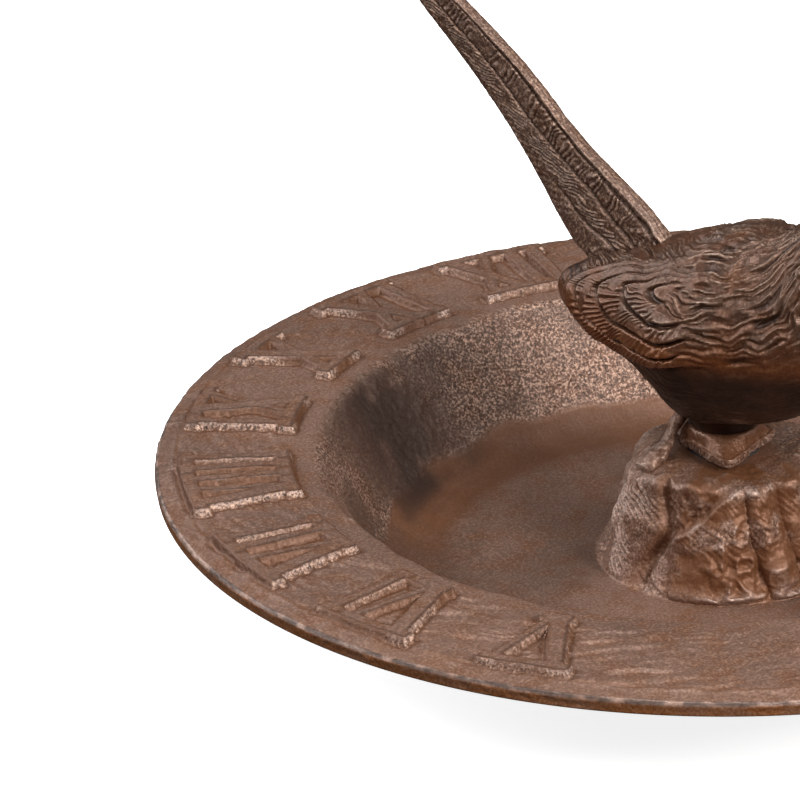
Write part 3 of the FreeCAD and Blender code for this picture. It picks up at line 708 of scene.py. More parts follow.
def build_bird():
    n_len, n_rnd = int(430 / Q), int(470 / Q)
    t = np.linspace(0, len(BODY) - 1, 1600)
    C = smooth_curve(BODY, t)
    seg = np.hypot(np.diff(C[:, 0]), np.diff(C[:, 1])) + 0.5 * np.abs(np.diff(C[:, 2]))
    s = np.concatenate([[0], np.cumsum(seg)])
    ti = np.interp(np.linspace(0, s[-1], n_len), s, t)
    C = smooth_curve(BODY, ti)
    C[:, 2:4] = np.maximum(C[:, 2:4], 0.25)
    along = np.interp(ti, t, s)
    ph = np.linspace(0, 2 * math.pi, n_rnd, endpoint=False)
    U, Zc, HH, HW, TL = (C[:, k][:, None] for k in range(5))
    sn, cs = np.sin(ph)[None], np.cos(ph)[None]
    low = 0.90 + 0.10 * sstep(24, 40, U)
    w = HH * np.where(sn > 0, sn, sn * low)
    tr = np.radians(TL)
    u = U + w * np.sin(tr)
    z = Zc + w * np.cos(tr)
    v = HW * np.sign(cs) * np.abs(cs) ** 0.94
    P = fig(u, v, z)
    N = grid_normals(P)
    ctr = fig(U + 0 * u, 0 * v, Zc + 0 * z)
    flip = np.sign(np.sum(N * (P - ctr)))
    N = N * flip
    arc = ph[None] * HH
    across = np.where(np.cos(ph)[None] >= 0, arc, (math.pi - ph[None]) * HH + 400)
    al2 = np.repeat(along[:, None], n_rnd, 1)
    flat = lambda x: np.broadcast_to(x, u.shape).ravel()
    h, wing, front = bird_height(flat(u), flat(v), flat(z), flat(al2), flat(across), P.reshape(-1, 3))
    ends = np.minimum(sstep(0, 9, np.arange(n_len)), sstep(0, 7, np.arange(n_len)[::-1]))[:, None]
    h = h.reshape(u.shape) * ends
    # the wing stands a little proud of the flank
    a, b, d, al = wing_coords(u, z)
    proud = 1.0 * (1 - sstep(17.0, 19.6, d)) * sstep(-26, -6, a)
    P = P + N * (h + proud * ends)[..., None]
    # foot that stands on the plate
    rxy = np.hypot(P[..., 0], P[..., 1])
    under = (P[..., 2] < RIM_Z + 20)
    m = (1 - sstep(7.0, 10.0, rxy)) * under
    P[..., 2] = P[..., 2] * (1 - m) + (PLATE_Z1 + 0.02) * m
    verts = [P.reshape(-1, 3)]
    faces = [grid_faces(n_len, n_rnd, flip=bool(flip < 0))]
    off = n_len * n_rnd
    caps = []
    for row in (0, n_len - 1):
        ring = row * n_rnd + np.arange(n_rnd)
        verts.append(P[row].mean(0)[None])
        tri = np.stack([ring, np.full(n_rnd, off), np.roll(ring, -1)], 1)
        if (row == 0) == (flip < 0):
            tri = tri[:, ::-1]
        caps.append(tri)
        off += 1
    tris = np.concatenate(caps)
    deep_a = np.concatenate([wing, [0, 0]])
    belly_a = np.concatenate([front, [0, 0]])
    # beak: closed swept shells
    parts_v, quads = [np.concatenate(verts)], [faces[0]]
    base = off

    def sweep(pts, rads, nseg=28, squash=1.0, cut=None):
        nonlocal base
        pts = np.asarray(pts, float)
        k = np.linspace(0, len(pts) - 1, 34)
        cc = smooth_curve(np.column_stack([pts, rads]), k)
        pt, rd = cc[:, :2], np.maximum(cc[:, 2], 0.05)
        dirs = np.gradient(pt, axis=0)
        dirs /= np.linalg.norm(dirs, axis=1, keepdims=True)
        nn = np.stack([-dirs[:, 1], dirs[:, 0]], 1)
        f = np.linspace(0, 2 * math.pi, nseg, endpoint=False)
        uu = pt[:, 0][:, None] + nn[:, 0][:, None] * rd[:, None] * np.sin(f) * squash
        zz = pt[:, 1][:, None] + nn[:, 1][:, None] * rd[:, None] * np.sin(f) * squash
        vv = rd[:, None] * np.cos(f)
        G = fig(uu, vv, zz)
        parts_v.append(G.reshape(-1, 3))
        quads.append(grid_faces(len(k), nseg, base=base, flip=True))
        o = base + len(k) * nseg
        tr_ = []
        for row, fl in ((0, True), (len(k) - 1, False)):
            ring = base + row * nseg + np.arange(nseg)
            parts_v.append(G[row].mean(0)[None])
            q_ = np.stack([ring, np.full(nseg, o), np.roll(ring, -1)], 1)
            tr_.append(q_ if fl == (True) else q_[:, ::-1])
            o += 1
        base = o
        return np.concatenate(tr_)

    extra = [tris]
    extra.append(sweep([(57, 67.6), (64, 68.4), (72, 69.0), (80, 68.7), (86.0, 67.2)],
                       [5.2, 4.3, 2.7, 1.3, 0.25], squash=0.62))
    extra.append(sweep([(57, 64.9), (64, 65.7), (72, 66.6), (79, 67.2), (84.0, 67.0)],
                       [4.6, 3.7, 2.2, 1.0, 0.25], squash=0.55))
    V = np.concatenate(parts_v)
    ob = mesh_object("bird_body_cast", V, [np.concatenate(quads), np.concatenate(extra)])
    n = len(ob.data.vertices)
    pad = lambda x: np.concatenate([x, np.zeros(n - len(x))]).astype(np.float32)
    for key, val in (("deep", deep_a), ("belly", belly_a)):
        at = ob.data.attributes.new(key, "FLOAT", "POINT")
        at.data.foreach_set("value", pad(val))
    # the eyes, a raised ring and ball, are added to this casting later as extra closed shells
    return ob


def eye_shell(side):
    """A small ball in a raised ring on one side of the head."""
    nr, nc = 22, 36
    cu, cz, cv = 52.5, 68.6, side * 13.2
    f = np.linspace(0, 2 * math.pi, nc, endpoint=False)
    rr = np.linspace(0.02, 3.9, nr)
    prof = 1.35 * np.sqrt(np.clip(1 - (rr / 2.15) ** 2, 0, 1)) * (rr < 2.15) \
        + 0.75 * np.exp(-((rr - 2.95) / 0.42) ** 2) - 1.9 * sstep(3.2, 3.9, rr)
    U = cu + rr[:, None] * np.cos(f)[None]
    Z = cz + rr[:, None] * np.sin(f)[None]
    Vv = cv + side * prof[:, None] + 0 * U - side * (0.028 * ((U - 50.5) ** 2 + (Z - 64.5) ** 2) - 0.5)
    G = fig(U, Vv, Z)
    back = fig(np.array([cu]), np.array([cv - side * 4.0]), np.array([cz]))
    V = np.concatenate([G.reshape(-1, 3), fig(np.array([cu]), np.array([cv + side * 1.3]), np.array([cz])), back])
    fc = grid_faces(nr, nc, flip=(side > 0))
    r0 = np.arange(nc)
    r1 = (nr - 1) * nc + np.arange(nc)
    top = np.stack([r0, np.roll(r0, -1), np.full(nc, nr * nc)], 1)
    bot = np.stack([r1, np.full(nc, nr * nc + 1), np.roll(r1, -1)], 1)
    tri = np.concatenate([top, bot])
    if side < 0:
        tri = tri[:, ::-1]
    return V, fc, tri


# ======================================================================== TAIL
TAIL_LOW = np.array([(-37.0, 41.0), (-40.2, 45.3), (-44.2, 48.7), (-48.7, 54.9), (-54.6, 64.3), (-60.6, 73.3),
                     (-66.6, 81.3), (-73.8, 89.8), (-84.0, 100.8), (-93.5, 110.6), (-102.5, 119.2)])
TAIL_TOP = np.array([(-13.0, 49.6), (-16.8, 54.0), (-21.5, 59.2), (-27.6, 64.4), (-33.8, 69.2), (-40.9, 75.0),
                     (-48.6, 82.4), (-57.2, 91.8), (-69.5, 102.4), (-83.5, 113.2), (-98.0, 124.0)])
# grooves between the feathers: (position along the tail, fraction from the lower to the upper edge)
TAIL_G1 = np.array([(0.0, 0.66), (0.35, 0.64), (0.467, 0.58), (0.58, 0.51), (0.70, 0.49), (1.0, 0.46)])
TAIL_G2 = np.array([(0.0, 0.955), (1.0, 0.94)])
TAIL_G3 = np.array([(0.0, 0.46), (0.178, 0.40), (0.271, 0.31), (0.355, 0.27), (0.427, 0.23), (0.60, 0.15), (1.0, 0.1)])


def build_tail():
    nl, nw = int(330 / Q), int(84 / Q)
    k = np.linspace(0, len(TAIL_LOW) - 1, nl)
    lo, hi = smooth_curve(TAIL_LOW, k), smooth_curve(TAIL_TOP, k)
    t = np.linspace(0, 1, nl)
    L = np.concatenate([[0], np.cumsum(np.linalg.norm(np.diff((lo + hi) / 2, axis=0), axis=1))])
    f = np.linspace(0, 1, nw)
    F, T = np.meshgrid(f, t)
    S = np.repeat(L[:, None], nw, 1)
    width = np.linalg.norm(hi - lo, axis=1)[:, None]
    # rounded tip
    endcap = np.sqrt(np.clip(1 - np.clip((S - (L[-1] - 7)) / 7.0, 0, 1) ** 2, 0, 1))
    mid = (lo + hi) / 2
    half = (hi - lo) / 2
    sides, deeps = [], []
    for sgn in (-1, 1):
        ff = (F - 0.5) * 2 * (0.35 + 0.65 * endcap)
        UZ = mid[:, None, :] + half[:, None, :] * ff[..., None]
        low_r = 0.40 + 0.60 * np.clip(1 - (1 - np.minimum(F / 0.16, 1)) ** 2, 0, 1) ** 0.5
        thick = (2.75 - 0.95 * T) * low_r * (0.35 + 0.65 * endcap)
        P0 = fig(UZ[..., 0], sgn * thick, UZ[..., 1]).reshape(-1, 3)
        wob = 0.018 * noise(P0, 9, 140).reshape(F.shape) + 0.010 * noise(P0, 3, 141).reshape(F.shape)
        g = F + wob
        # feather edges run the length of the blade
        e1 = np.interp(T, TAIL_G1[:, 0], TAIL_G1[:, 1])
        e2 = np.interp(T, TAIL_G2[:, 0], TAIL_G2[:, 1])
        e3 = np.interp(T, TAIL_G3[:, 0], TAIL_G3[:, 1])
        h = np.zeros_like(F)
        h += 0.25 * (1 - sstep(e1 - 0.013, e1 + 0.013, g))
        g2 = bell(g, e2 - 0.020, 0.026) * sstep(0.92, 0.75, T) * sstep(0.04, 0.10, T)
        g1 = bell(g, e1 + 0.004, 0.024) * sstep(0.03, 0.10, T)
        g3 = bell(g, e3, 0.020) * sstep(0.42, 0.30, T) * sstep(0.02, 0.06, T)
        h -= 0.95 * g2 + 0.70 * g1 + 0.60 * g3
        h += 0.30 * (1 - sstep(e3 - 0.022, e3 - 0.008, g)) * sstep(0.42, 0.30, T)
        # barbs: slanting wavy strokes, broken up
        x, y = S, g * width
        mid_top = (g - e1) / np.maximum(e2 - e1, 0.05)
        for lo_e, hi_e, sl, seed, am in ((e3, e1, 0.95, 150, 0.34), (e1, e2, -0.85, 152, 0.34)):
            inb = sstep(lo_e + 0.01, lo_e + 0.05, g) * (1 - sstep(hi_e - 0.06, hi_e - 0.01, g))
            wx = 1.5 * noise(P0, 3.4, seed).reshape(F.shape)
            ph = (x + sl * y + wx) / 1.75
            br = np.sin(2 * math.pi * ph)
            on = sstep(-0.55, 0.25, noise(P0, 2.4, seed + 1).reshape(F.shape))
            h += am * inb * br * on
        h += (g < e3 - 0.01) * 0.10 * np.sin(2 * math.pi * (x + 0.5 * y) / 2.1) * (T > 0.3)
        h += (0.26 * fbm(P0, 2.4, 2, 157) + 0.07 * noise(P0, 0.9, 159)).reshape(F.shape)
        # root: torn lower edge and a few beads of metal near the top
        h += 0.55 * bell(S, 7.0, 1.5) * (0.5 + 0.9 * noise(P0, 3, 160).reshape(F.shape)) * (g > 0.15)
        for (bu, bz, br_) in ((-24.8, 59.0, 0.95), (-23.5, 55.6, 0.8), (-25.9, 55.4, 0.7), (-21.6, 55.0, 0.6)):
            dd = np.hypot(UZ[..., 0] - bu, UZ[..., 1] - bz)
            h += 0.8 * br_ * np.exp(-(dd / (0.75 * br_)) ** 2)
        deep = np.clip(g1 + g2 + g3, 0, 1)
        deeps.append(deep)
        rim = sstep(0.0, 0.05, F)
        h = h * rim * (0.3 + 0.7 * endcap)
        sides.append(fig(UZ[..., 0], sgn * (thick + h), UZ[..., 1]))
    A, B = sides
    # upper edge: a narrow face with fine lines that run its length
    ne = max(5, int(13 / Q))
    out = (hi - lo) / np.linalg.norm(hi - lo, axis=1, keepdims=True)
    out3 = fig(out[:, 0], 0 * out[:, 0], out[:, 1])
    out3[:, 2] -= RIM_Z
    strips = []
    for j in range(1, ne):
        f_ = j / ne
        c = A[:, -1] * (1 - f_) + B[:, -1] * f_
        hh = 0.75 * math.sin(math.pi * f_) ** 0.7 + 0.16 * np.cos(2 * math.pi * (f_ * 3.4 + 0.25 * noise(c, 11, 156)))
        hh = (hh + 0.12 * noise(c, 1.5, 158)) * (0.2 + 0.8 * endcap[:, -1])
        strips.append((c + out3 * hh[:, None])[:, None])
    E = np.concatenate(strips, axis=1)
    # one closed ring per station: near side low to high, upper edge, far side high to low
    ring = np.concatenate([A, E, B[:, ::-1]], axis=1)
    nr, nc = ring.shape[:2]
    V = ring.reshape(-1, 3)
    fc = grid_faces(nr, nc)
    r0, r1 = np.arange(nc), (nr - 1) * nc + np.arange(nc)
    V = np.concatenate([V, ring[0].mean(0)[None], ring[-1].mean(0)[None]])
    t0 = np.stack([r0, np.full(nc, nr * nc), np.roll(r0, -1)], 1)
    t1 = np.stack([r1, np.roll(r1, -1), np.full(nc, nr * nc + 1)], 1)
    ob = mesh_object("tail_gnomon_cast", V, [fc, np.concatenate([t0, t1])])
    dp = np.concatenate([np.concatenate([deeps[0], np.zeros(E.shape[:2]), deeps[1][:, ::-1]], axis=1).ravel(), [0, 0]])
    at = ob.data.attributes.new("deep", "FLOAT", "POINT")
    at.data.foreach_set("value", dp.astype(np.float32))
    return ob


# ================================================================ PERCH PLATE
def build_plate():
    nt = int(420 / Q)
    th = np.linspace(0, 360, nt, endpoint=False)
    keys = np.array([(0, 12.9), (20, 12.5), (61, 13.5), (80, 11.2), (98, 10.2), (118, 11.0), (138, 14.2),
                     (155, 18.5), (172, 14.2), (192, 11.0), (212, 10.2), (232, 11.2), (250, 13.5), (290, 12.5),
                     (335, 14.5), (360, 12.9)])
    out = np.interp(th, keys[:, 0], keys[:, 1])
    out = (np.roll(out, 3) + np.roll(out, -3) + 2 * out) / 4
    T0, T1 = PLATE_Z0, PLATE_Z1
    prof = []          # (fraction of outline, z)
    for f in np.linspace(0.30, 0.93, 30):
        prof.append((f, T1, 1))
    for a in np.linspace(90, -90, 13)[1:-1]:
        prof.append((0.965 + 0.035 * math.cos(math.radians(a)), (T0 + T1) / 2 + (T1 - T0) / 2 * math.sin(math.radians(a)), 2))
    for f in np.linspace(0.93, 0.30, 16):
        prof.append((f, T0, 3))
    pr = np.array(prof)
    R = 4.6 + (pr[:, 0][:, None] - 0.30) / 0.70 * (out[None] - 4.6)
    t = np.radians(th)[None]
    Z = np.repeat(pr[:, 1][:, None], nt, 1)
    P = np.stack([-np.sin(t) * R, np.cos(t) * R, Z], -1)
    p = P.reshape(-1, 3)
    kind = np.repeat(pr[:, 2][:, None], nt, 1)
    edge = (kind == 2)
    n1 = fbm(p, 2.4, 2, 170).reshape(R.shape)
    n2 = noise(p, 0.9, 173).reshape(R.shape)
    R2 = R + edge * (0.55 * n1 + 0.20 * n2)
    rr = R / np.maximum(out[None], 1)
    top = (kind == 1)
    Z2 = Z + top * sstep(0.55, 0.8, rr) * (0.25 * n1 + 0.06 * n2) - top * 0.35 * sstep(0.8, 0.95, rr)
    Z2 = Z2 + (kind == 3) * sstep(0.75, 0.95, rr) * (0.3 + 0.2 * n1)
    # raised seat round the bird's foot
    Z2 = Z2 + top * 2.0 * 1.55 * sstep(6.7, 7.7, R) * sstep(np.repeat(0.92 * out[None], len(pr), 0), 9.2, R)
    P = np.stack([-np.sin(t) * R2, np.cos(t) * R2, Z2], -1)
    fc = grid_faces(len(pr), nt, closed_r=True, flip=False)
    return mesh_object("perch_plate_cast", P.reshape(-1, 3), [fc])



# ==================================================================== BUILD ALL
def fix_normals(ob):
    """Turns the surface outwards if the enclosed volume comes out negative."""
    me = ob.data
    me.calc_loop_triangles()
    n = len(me.loop_triangles)
    tri = np.empty(n * 3, np.int32)
    me.loop_triangles.foreach_get("vertices", tri)
    co = np.empty(len(me.vertices) * 3, np.float32)
    me.vertices.foreach_get("co", co)
    co = co.reshape(-1, 3).astype(np.float64)
    a, b, c = (co[tri.reshape(-1, 3)[:, k]] for k in range(3))
    vol = np.einsum("ij,ij->i", a, np.cross(b, c)).sum() / 6
    if vol < 0:
        me.flip_normals()
    return vol


def attach_shells(ob, shells):
    """Adds closed shells (verts mm, quads, tris) to an object's mesh."""
    import bmesh
    bm = bmesh.new()
    bm.from_mesh(ob.data)
    for V, q, t in shells:
        vs = [bm.verts.new(Vector(v) * MM) for v in V]
        for f in np.asarray(q).tolist() + np.asarray(t).tolist():
            try:
                bm.faces.new([vs[i] for i in f]).smooth = True
            except ValueError:
                pass
    bm.to_mesh(ob.data)
    bm.free()
    ob.data.update()


def bore(ob, cutters):
    """Cuts (centre mm, direction, radius mm, length mm) cylinders out of a casting."""
    import bmesh
    me = bpy.data.meshes.new("cutter")
    bm = bmesh.new()
    for c, d, r, l in cutters:
        c, d = Vector(c) * MM, Vector(d).normalized()
        rot = d.to_track_quat("Z", "Y").to_matrix().to_4x4()
        m = Matrix.Translation(c + d * l * MM / 2) @ rot
        bmesh.ops.create_cone(bm, cap_ends=True, segments=48, radius1=r * MM, radius2=r * MM,
                              depth=l * MM, matrix=m)
    bm.to_mesh(me)
    bm.free()
    cut = bpy.data.objects.new("cutter", me)
    bpy.context.scene.collection.objects.link(cut)
    mod = ob.modifiers.new("bores", "BOOLEAN")
    mod.operation = "DIFFERENCE"
    mod.object = cut
    mod.solver = "MANIFOLD"
    dg = bpy.context.evaluated_depsgraph_get()
    new = bpy.data.meshes.new_from_object(ob.evaluated_get(dg), depsgraph=dg)
    ob.modifiers.clear()
    if len(new.polygons) > 100:
        old = ob.data
        ob.data = new
        bpy.data.meshes.remove(old)
    bpy.data.objects.remove(cut)
    bpy.data.meshes.remove(me)


def splinter():
    """A curved sliver of bark that rises from the mound's crest to the bird."""
    pts = np.array([(-22.0, -8.2, -3.8), (-19.6, -6.6, -2.4), (-17.2, -5.2, -0.9), (-15.2, -3.4, 1.2),
                    (-13.9, -1.4, 3.6), (-12.6, 0.6, 5.8), (-10.4, 2.0, 7.6)])
    rad = np.array([2.4, 3.0, 2.7, 2.0, 1.7, 1.9, 1.9])
    k = np.linspace(0, len(pts) - 1, int(64 / Q))
    c = smooth_curve(np.column_stack([pts, rad]), k)
    m = int(28 / Q)
    d = np.gradient(c[:, :3], axis=0)
    d /= np.linalg.norm(d, axis=1, keepdims=True)
    e1 = np.cross(d, [0.3, -1.0, 0.2])
    e1 /= np.linalg.norm(e1, axis=1, keepdims=True)
    e2 = np.cross(d, e1)
    f = np.linspace(0, 2 * math.pi, m, endpoint=False)
    r = np.repeat(c[:, 3][:, None], m, 1)
    G = c[:, None, :3] + r[..., None] * (np.cos(f)[None, :, None] * e1[:, None] * 0.8
                                         + np.sin(f)[None, :, None] * e2[:, None] * 1.25)
    q = G.reshape(-1, 3)
    G = G + ((0.55 * noise(q, 2.6, 190) + 0.22 * noise(q, 1.0, 191)).reshape(r.shape)[..., None]
             * (G - c[:, None, :3]) / r[..., None])
    ca, sa = math.cos(CAM_A), math.sin(CAM_A)
    W = np.stack([G[..., 0] * ca + G[..., 1] * sa, -G[..., 0] * sa + G[..., 1] * ca, G[..., 2] + RIM_Z], -1)
    n = len(k)
    V = np.concatenate([W.reshape(-1, 3), W[0].mean(0)[None], W[-1].mean(0)[None]])
    r0, r1 = np.arange(m), (n - 1) * m + np.arange(m)
    t0 = np.stack([r0, np.roll(r0, -1), np.full(m, n * m)], 1)
    t1 = np.stack([r1, np.full(m, n * m + 1), np.roll(r1, -1)], 1)
    quads = grid_faces(n, m, flip=True)
    tris = np.concatenate([t0, t1])
    a, b, c_ = (V[tris[:, j]] for j in range(3))
    vol = np.einsum("ij,ij->i", a, np.cross(b, c_)).sum()
    for j in (0, 2):
        x, y, z = V[quads[:, 0]], V[quads[:, 1 + j // 2]], V[quads[:, 2 + j // 2]]
        vol += np.einsum("ij,ij->i", x, np.cross(y, z)).sum()
    if vol < 0:
        quads, tris = quads[:, ::-1], tris[:, ::-1]
    return V, quads, tris


basin = build_basin()
fix_normals(basin)
bore(basin, [((*pol(60 + 120 * k, 66.0), -1.0), (0, 0, 1), 3.0, 7.0) for k in range(3)])
attach_shells(basin, [splinter()])
relief(basin, 0.50, 8)
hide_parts("dial_basin")

bird = build_bird()
fix_normals(bird)
attach_shells(bird, [eye_shell(-1), eye_shell(1)])
relief(bird, 0.40, 9)
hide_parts("bird_body")

tail = build_tail()
fix_normals(tail)
relief(tail, 0.40, 8)
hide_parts("tail_gnomon")

plate = build_plate()
fix_normals(plate)
relief(plate, 0.35, 6)
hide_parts("perch_plate")

CAST = {"dial_basin": basin, "bird_body": bird, "tail_gnomon": tail, "perch_plate": plate}
for ob in CAST.values():
    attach(ob, "root")


# ==================================================================== MATERIALS
class Net:
    """Small helper for building a material's node tree."""

    def __init__(self, name):
        self.mat = bpy.data.materials.new(name)
        self.mat.use_nodes = True
        self.t = self.mat.node_tree
        for n in list(self.t.nodes):
            self.t.nodes.remove(n)
        self.out = self.node("ShaderNodeOutputMaterial")
        self.b = self.node("ShaderNodeBsdfPrincipled")
        self.t.links.new(self.b.outputs[0], self.out.inputs[0])
        self.co = self.node("ShaderNodeTexCoord").outputs["Object"]

    def node(self, kind, **kw):
        n = self.t.nodes.new(kind)
        for k, v in kw.items():
            setattr(n, k, v)
        return n

    def put(self, sock, v):
        if isinstance(v, bpy.types.NodeSocket):
            self.t.links.new(v, sock)
        elif v is not None:
            sock.default_value = v

    def noise(self, scale, detail=3.0, rough=0.55, co=None, dist=0.0):
        n = self.node("ShaderNodeTexNoise")
        self.put(n.inputs["Vector"], co if co is not None else self.co)
        n.inputs["Scale"].default_value = scale
        n.inputs["Detail"].default_value = detail
        n.inputs["Roughness"].default_value = rough
        n.inputs["Distortion"].default_value = dist
        return n.outputs["Fac"]

    def voronoi(self, scale, feature="F1"):
        n = self.node("ShaderNodeTexVoronoi", feature=feature)
        self.put(n.inputs["Vector"], self.co)
        n.inputs["Scale"].default_value = scale
        return n.outputs["Distance"]

    def math(self, op, a, b=None, c=None, clamp=False):
        n = self.node("ShaderNodeMath", operation=op, use_clamp=clamp)
        for s, v in zip(n.inputs, (a, b, c)):
            self.put(s, v)
        return n.outputs[0]

    def ramp(self, v, lo, hi, a=0.0, b=1.0):
        n = self.node("ShaderNodeMapRange", interpolation_type="SMOOTHSTEP")
        self.put(n.inputs["Value"], v)
        n.inputs["From Min"].default_value = lo
        n.inputs["From Max"].default_value = hi
        n.inputs["To Min"].default_value = a
        n.inputs["To Max"].default_value = b
        return n.outputs["Result"]

    def mix(self, f, a, b):
        n = self.node("ShaderNodeMix", data_type="RGBA", clamp_factor=True)
        self.put(n.inputs[0], f)
        self.put(n.inputs[6], a if isinstance(a, bpy.types.NodeSocket) else (*a, 1.0))
        self.put(n.inputs[7], b if isinstance(b, bpy.types.NodeSocket) else (*b, 1.0))
        return n.outputs[2]

    def attr(self, key):
        return self.node("ShaderNodeAttribute", attribute_name=key).outputs["Fac"]

    def bump(self, height, strength, dist, normal=None):
        n = self.node("ShaderNodeBump")
        n.inputs["Strength"].default_value = strength
        n.inputs["Distance"].default_value = dist
        self.put(n.inputs["Height"], height)
        if normal is not None:
            self.put(n.inputs["Normal"], normal)
        return n.outputs[0]

    def set(self, **kw):
        for k, v in kw.items():
            self.put(self.b.inputs[k.replace("_", " ")], v)


MID = (0.188, 0.107, 0.076)
HIGH = (0.376, 0.262, 0.216)
RECESS = (0.156, 0.061, 0.026)
BLACK = (0.021, 0.0116, 0.0091)


def cast_iron(name, mid=MID, high=HIGH, recess=RECESS, sand=0.0005, metal=0.35, rough=(0.38, 0.58),
              wear_and_highlight=(0.10, 0.75), deep=(0.10, 0.80), blotch=0.7, groove=RECESS, speck=1.0):
    m = Net(name)
    rel = m.attr("relief")
    big = m.noise(22, 3, 0.5)
    mid_n = m.noise(120, 4, 0.6)
    fine = m.noise(640, 3, 0.65)
    grit = m.noise(1350, 2, 0.7)
    gr = m.attr("grain_and_glint")
    jit = m.math("MULTIPLY_ADD", mid_n, 0.6, -0.30)
    jit = m.math("ADD", jit, m.math("MULTIPLY_ADD", fine, 1.0, -0.50))
    # rubbed wear on raised parts; on the basin the relief also holds painted highlights on the lit letter walls and
    # the outer edge wall
    up = m.ramp(m.math("ADD", rel, jit), *wear_and_highlight)
    dn = m.ramp(m.math("SUBTRACT", jit, rel), *deep)
    tone = m.mix(m.ramp(big, 0.35, 0.68), mid, tuple(0.72 * c for c in mid))
    tone = m.mix(m.math("MULTIPLY", m.ramp(mid_n, 0.42, 0.66), blotch), tone, recess)
    col = m.mix(up, tone, high)
    col = m.mix(dn, col, recess)
    # sand grains: bright tops and dark pits; where the grain is laid on walls that face the key light, the bright tops
    # are painted glints
    gtop = m.math("MULTIPLY", m.ramp(grit, 0.51, 0.63), m.math("MULTIPLY_ADD", gr, 0.80, 0.10 * speck))
    gpit = m.math("MULTIPLY", m.ramp(grit, 0.49, 0.38), m.math("MULTIPLY_ADD", gr, 0.70, 0.20 * speck))
    col = m.mix(m.attr("warm"), col, tuple(c * k for c, k in zip(mid, (1.75, 1.12, 0.52))))
    col = m.mix(gtop, col, tuple(min(1.0, k * c) for c, k in zip(high, (1.50, 1.42, 1.30))))
    col = m.mix(gpit, col, tuple(0.20 * c for c in mid))
    col = m.mix(m.math("MULTIPLY", m.attr("deep"), 0.88), col, groove)
    col = m.mix(m.attr("dark"), col, BLACK)
    m.set(Base_Color=col, Metallic=metal)
    r = m.math("MULTIPLY_ADD", mid_n, rough[1] - rough[0], rough[0])
    r = m.math("SUBTRACT", r, m.math("MULTIPLY", up, 0.06))
    m.set(Roughness=r)
    h = m.math("ADD", m.math("MULTIPLY", fine, 0.45), m.math("MULTIPLY", grit, 0.55))
    pit = m.ramp(m.voronoi(420), 0.05, 0.32)
    h = m.math("ADD", h, m.math("MULTIPLY", pit, 0.20))
    bp = m.bump(h, 1.0, sand)
    m.put(bp.node.inputs["Strength"], m.math("MULTIPLY_ADD", gr, 0.70, 0.28, clamp=True))
    m.set(Normal=bp)
    return m.mat


def zinc(name, col, rough):
    m = Net(name)
    a = m.noise(300, 3, 0.6)
    b = m.noise(1400, 2, 0.6)
    c = m.mix(m.ramp(a, 0.35, 0.7), col, tuple(0.72 * x for x in col))
    m.set(Base_Color=c, Metallic=0.9, Roughness=m.math("MULTIPLY_ADD", b, 0.25, rough))
    m.set(Normal=m.bump(b, 0.5, 0.00005))
    return m.mat


def rubber(name):
    m = Net(name)
    a = m.noise(500, 3, 0.6)
    c = m.mix(m.ramp(a, 0.3, 0.7), (0.010, 0.010, 0.010), (0.022, 0.021, 0.020))
    m.set(Base_Color=c, Roughness=m.math("MULTIPLY_ADD", a, 0.2, 0.65))
    m.set(Normal=m.bump(a, 0.6, 0.00008))
    return m.mat


def coords(ob):
    n = len(ob.data.vertices)
    co = np.empty(n * 3, np.float32)
    ob.data.vertices.foreach_get("co", co)
    return co.reshape(-1, 3).astype(np.float64) / MM


def set_attr(ob, key, val):
    at = ob.data.attributes.get(key) or ob.data.attributes.new(key, "FLOAT", "POINT")
    at.data.foreach_set("value", np.clip(val, 0, 1).astype(np.float32))


def cam_xy(p):
    return (p[:, 0] * math.cos(CAM_A) - p[:, 1] * math.sin(CAM_A),
            p[:, 0] * math.sin(CAM_A) + p[:, 1] * math.cos(CAM_A))


# dark: painted shade on the bowl's west wall, the floor beside it, under the rim and round the letters, and black
# patina on the rim's edge; sand grain where it is sandy, with painted glints on walls that face the key light; rust
# where it is deep
p = coords(basin)
xc, yc = cam_xy(p)
r_ = np.hypot(p[:, 0], p[:, 1])
hgt = p[:, 2]
brk = fbm(p, 14, 4, 200)
inwall = sstep(78, 88, r_) * (1 - sstep(104, 110, r_)) * sstep(FLOOR_Z - 1, FLOOR_Z + 3, hgt)
ang_ = np.degrees(np.arctan2(-p[:, 0], p[:, 1]))
west = bell(ang_ - 40, 0, 19)
# painted shade: the bowl's west wall and the floor beside it are painted dark where they lie in shade
dark = 0.90 * inwall * west * sstep(-0.70, 0.10, brk)
dark = np.maximum(dark, 0.45 * sstep(66, 84, r_) * (1 - sstep(88, 100, r_)) * bell(ang_ - 58, 0, 20) * sstep(-0.4, 0.4, brk))
# painted shade under the rim: the underside and the outside of the bowl below it are painted darker
under = (hgt < RIM_Z - 5.2) & (r_ > 108)
dark = np.maximum(dark, 0.25 * under)
# the floor and the slope above it are painted darker than the rim, in swirls
bowl_ = (r_ < 108) & (r_ > 34)
swirl = sstep(-0.5, 0.6, fbm(p, 24, 3, 230))
dark = np.maximum(dark, (0.08 + 0.30 * swirl) * bowl_ * sstep(96, 86, r_))
sand_blot = sstep(88, 92, r_) * (1 - sstep(104, 109, r_)) * sstep(-0.15, 0.55, fbm(p, 17, 3, 227))
dark = np.maximum(dark, (0.12 + 0.38 * sand_blot) * (hgt < RIM_Z - 1) * sstep(88, 92, r_) * (r_ < 108))
set_attr(basin, "dark", dark)
back_ = sstep(-45, 25, yc)
sandz = sstep(89.2, 90.6, r_ + 1.3 * noise(p, 13, 221)) * (1 - sstep(105.5, 109, r_ + 1.5 * noise(p, 9, 222)))
sandz = sandz * (hgt > FLOOR_Z + 2) * (hgt < RIM_Z + 1) * (r_ < 111)
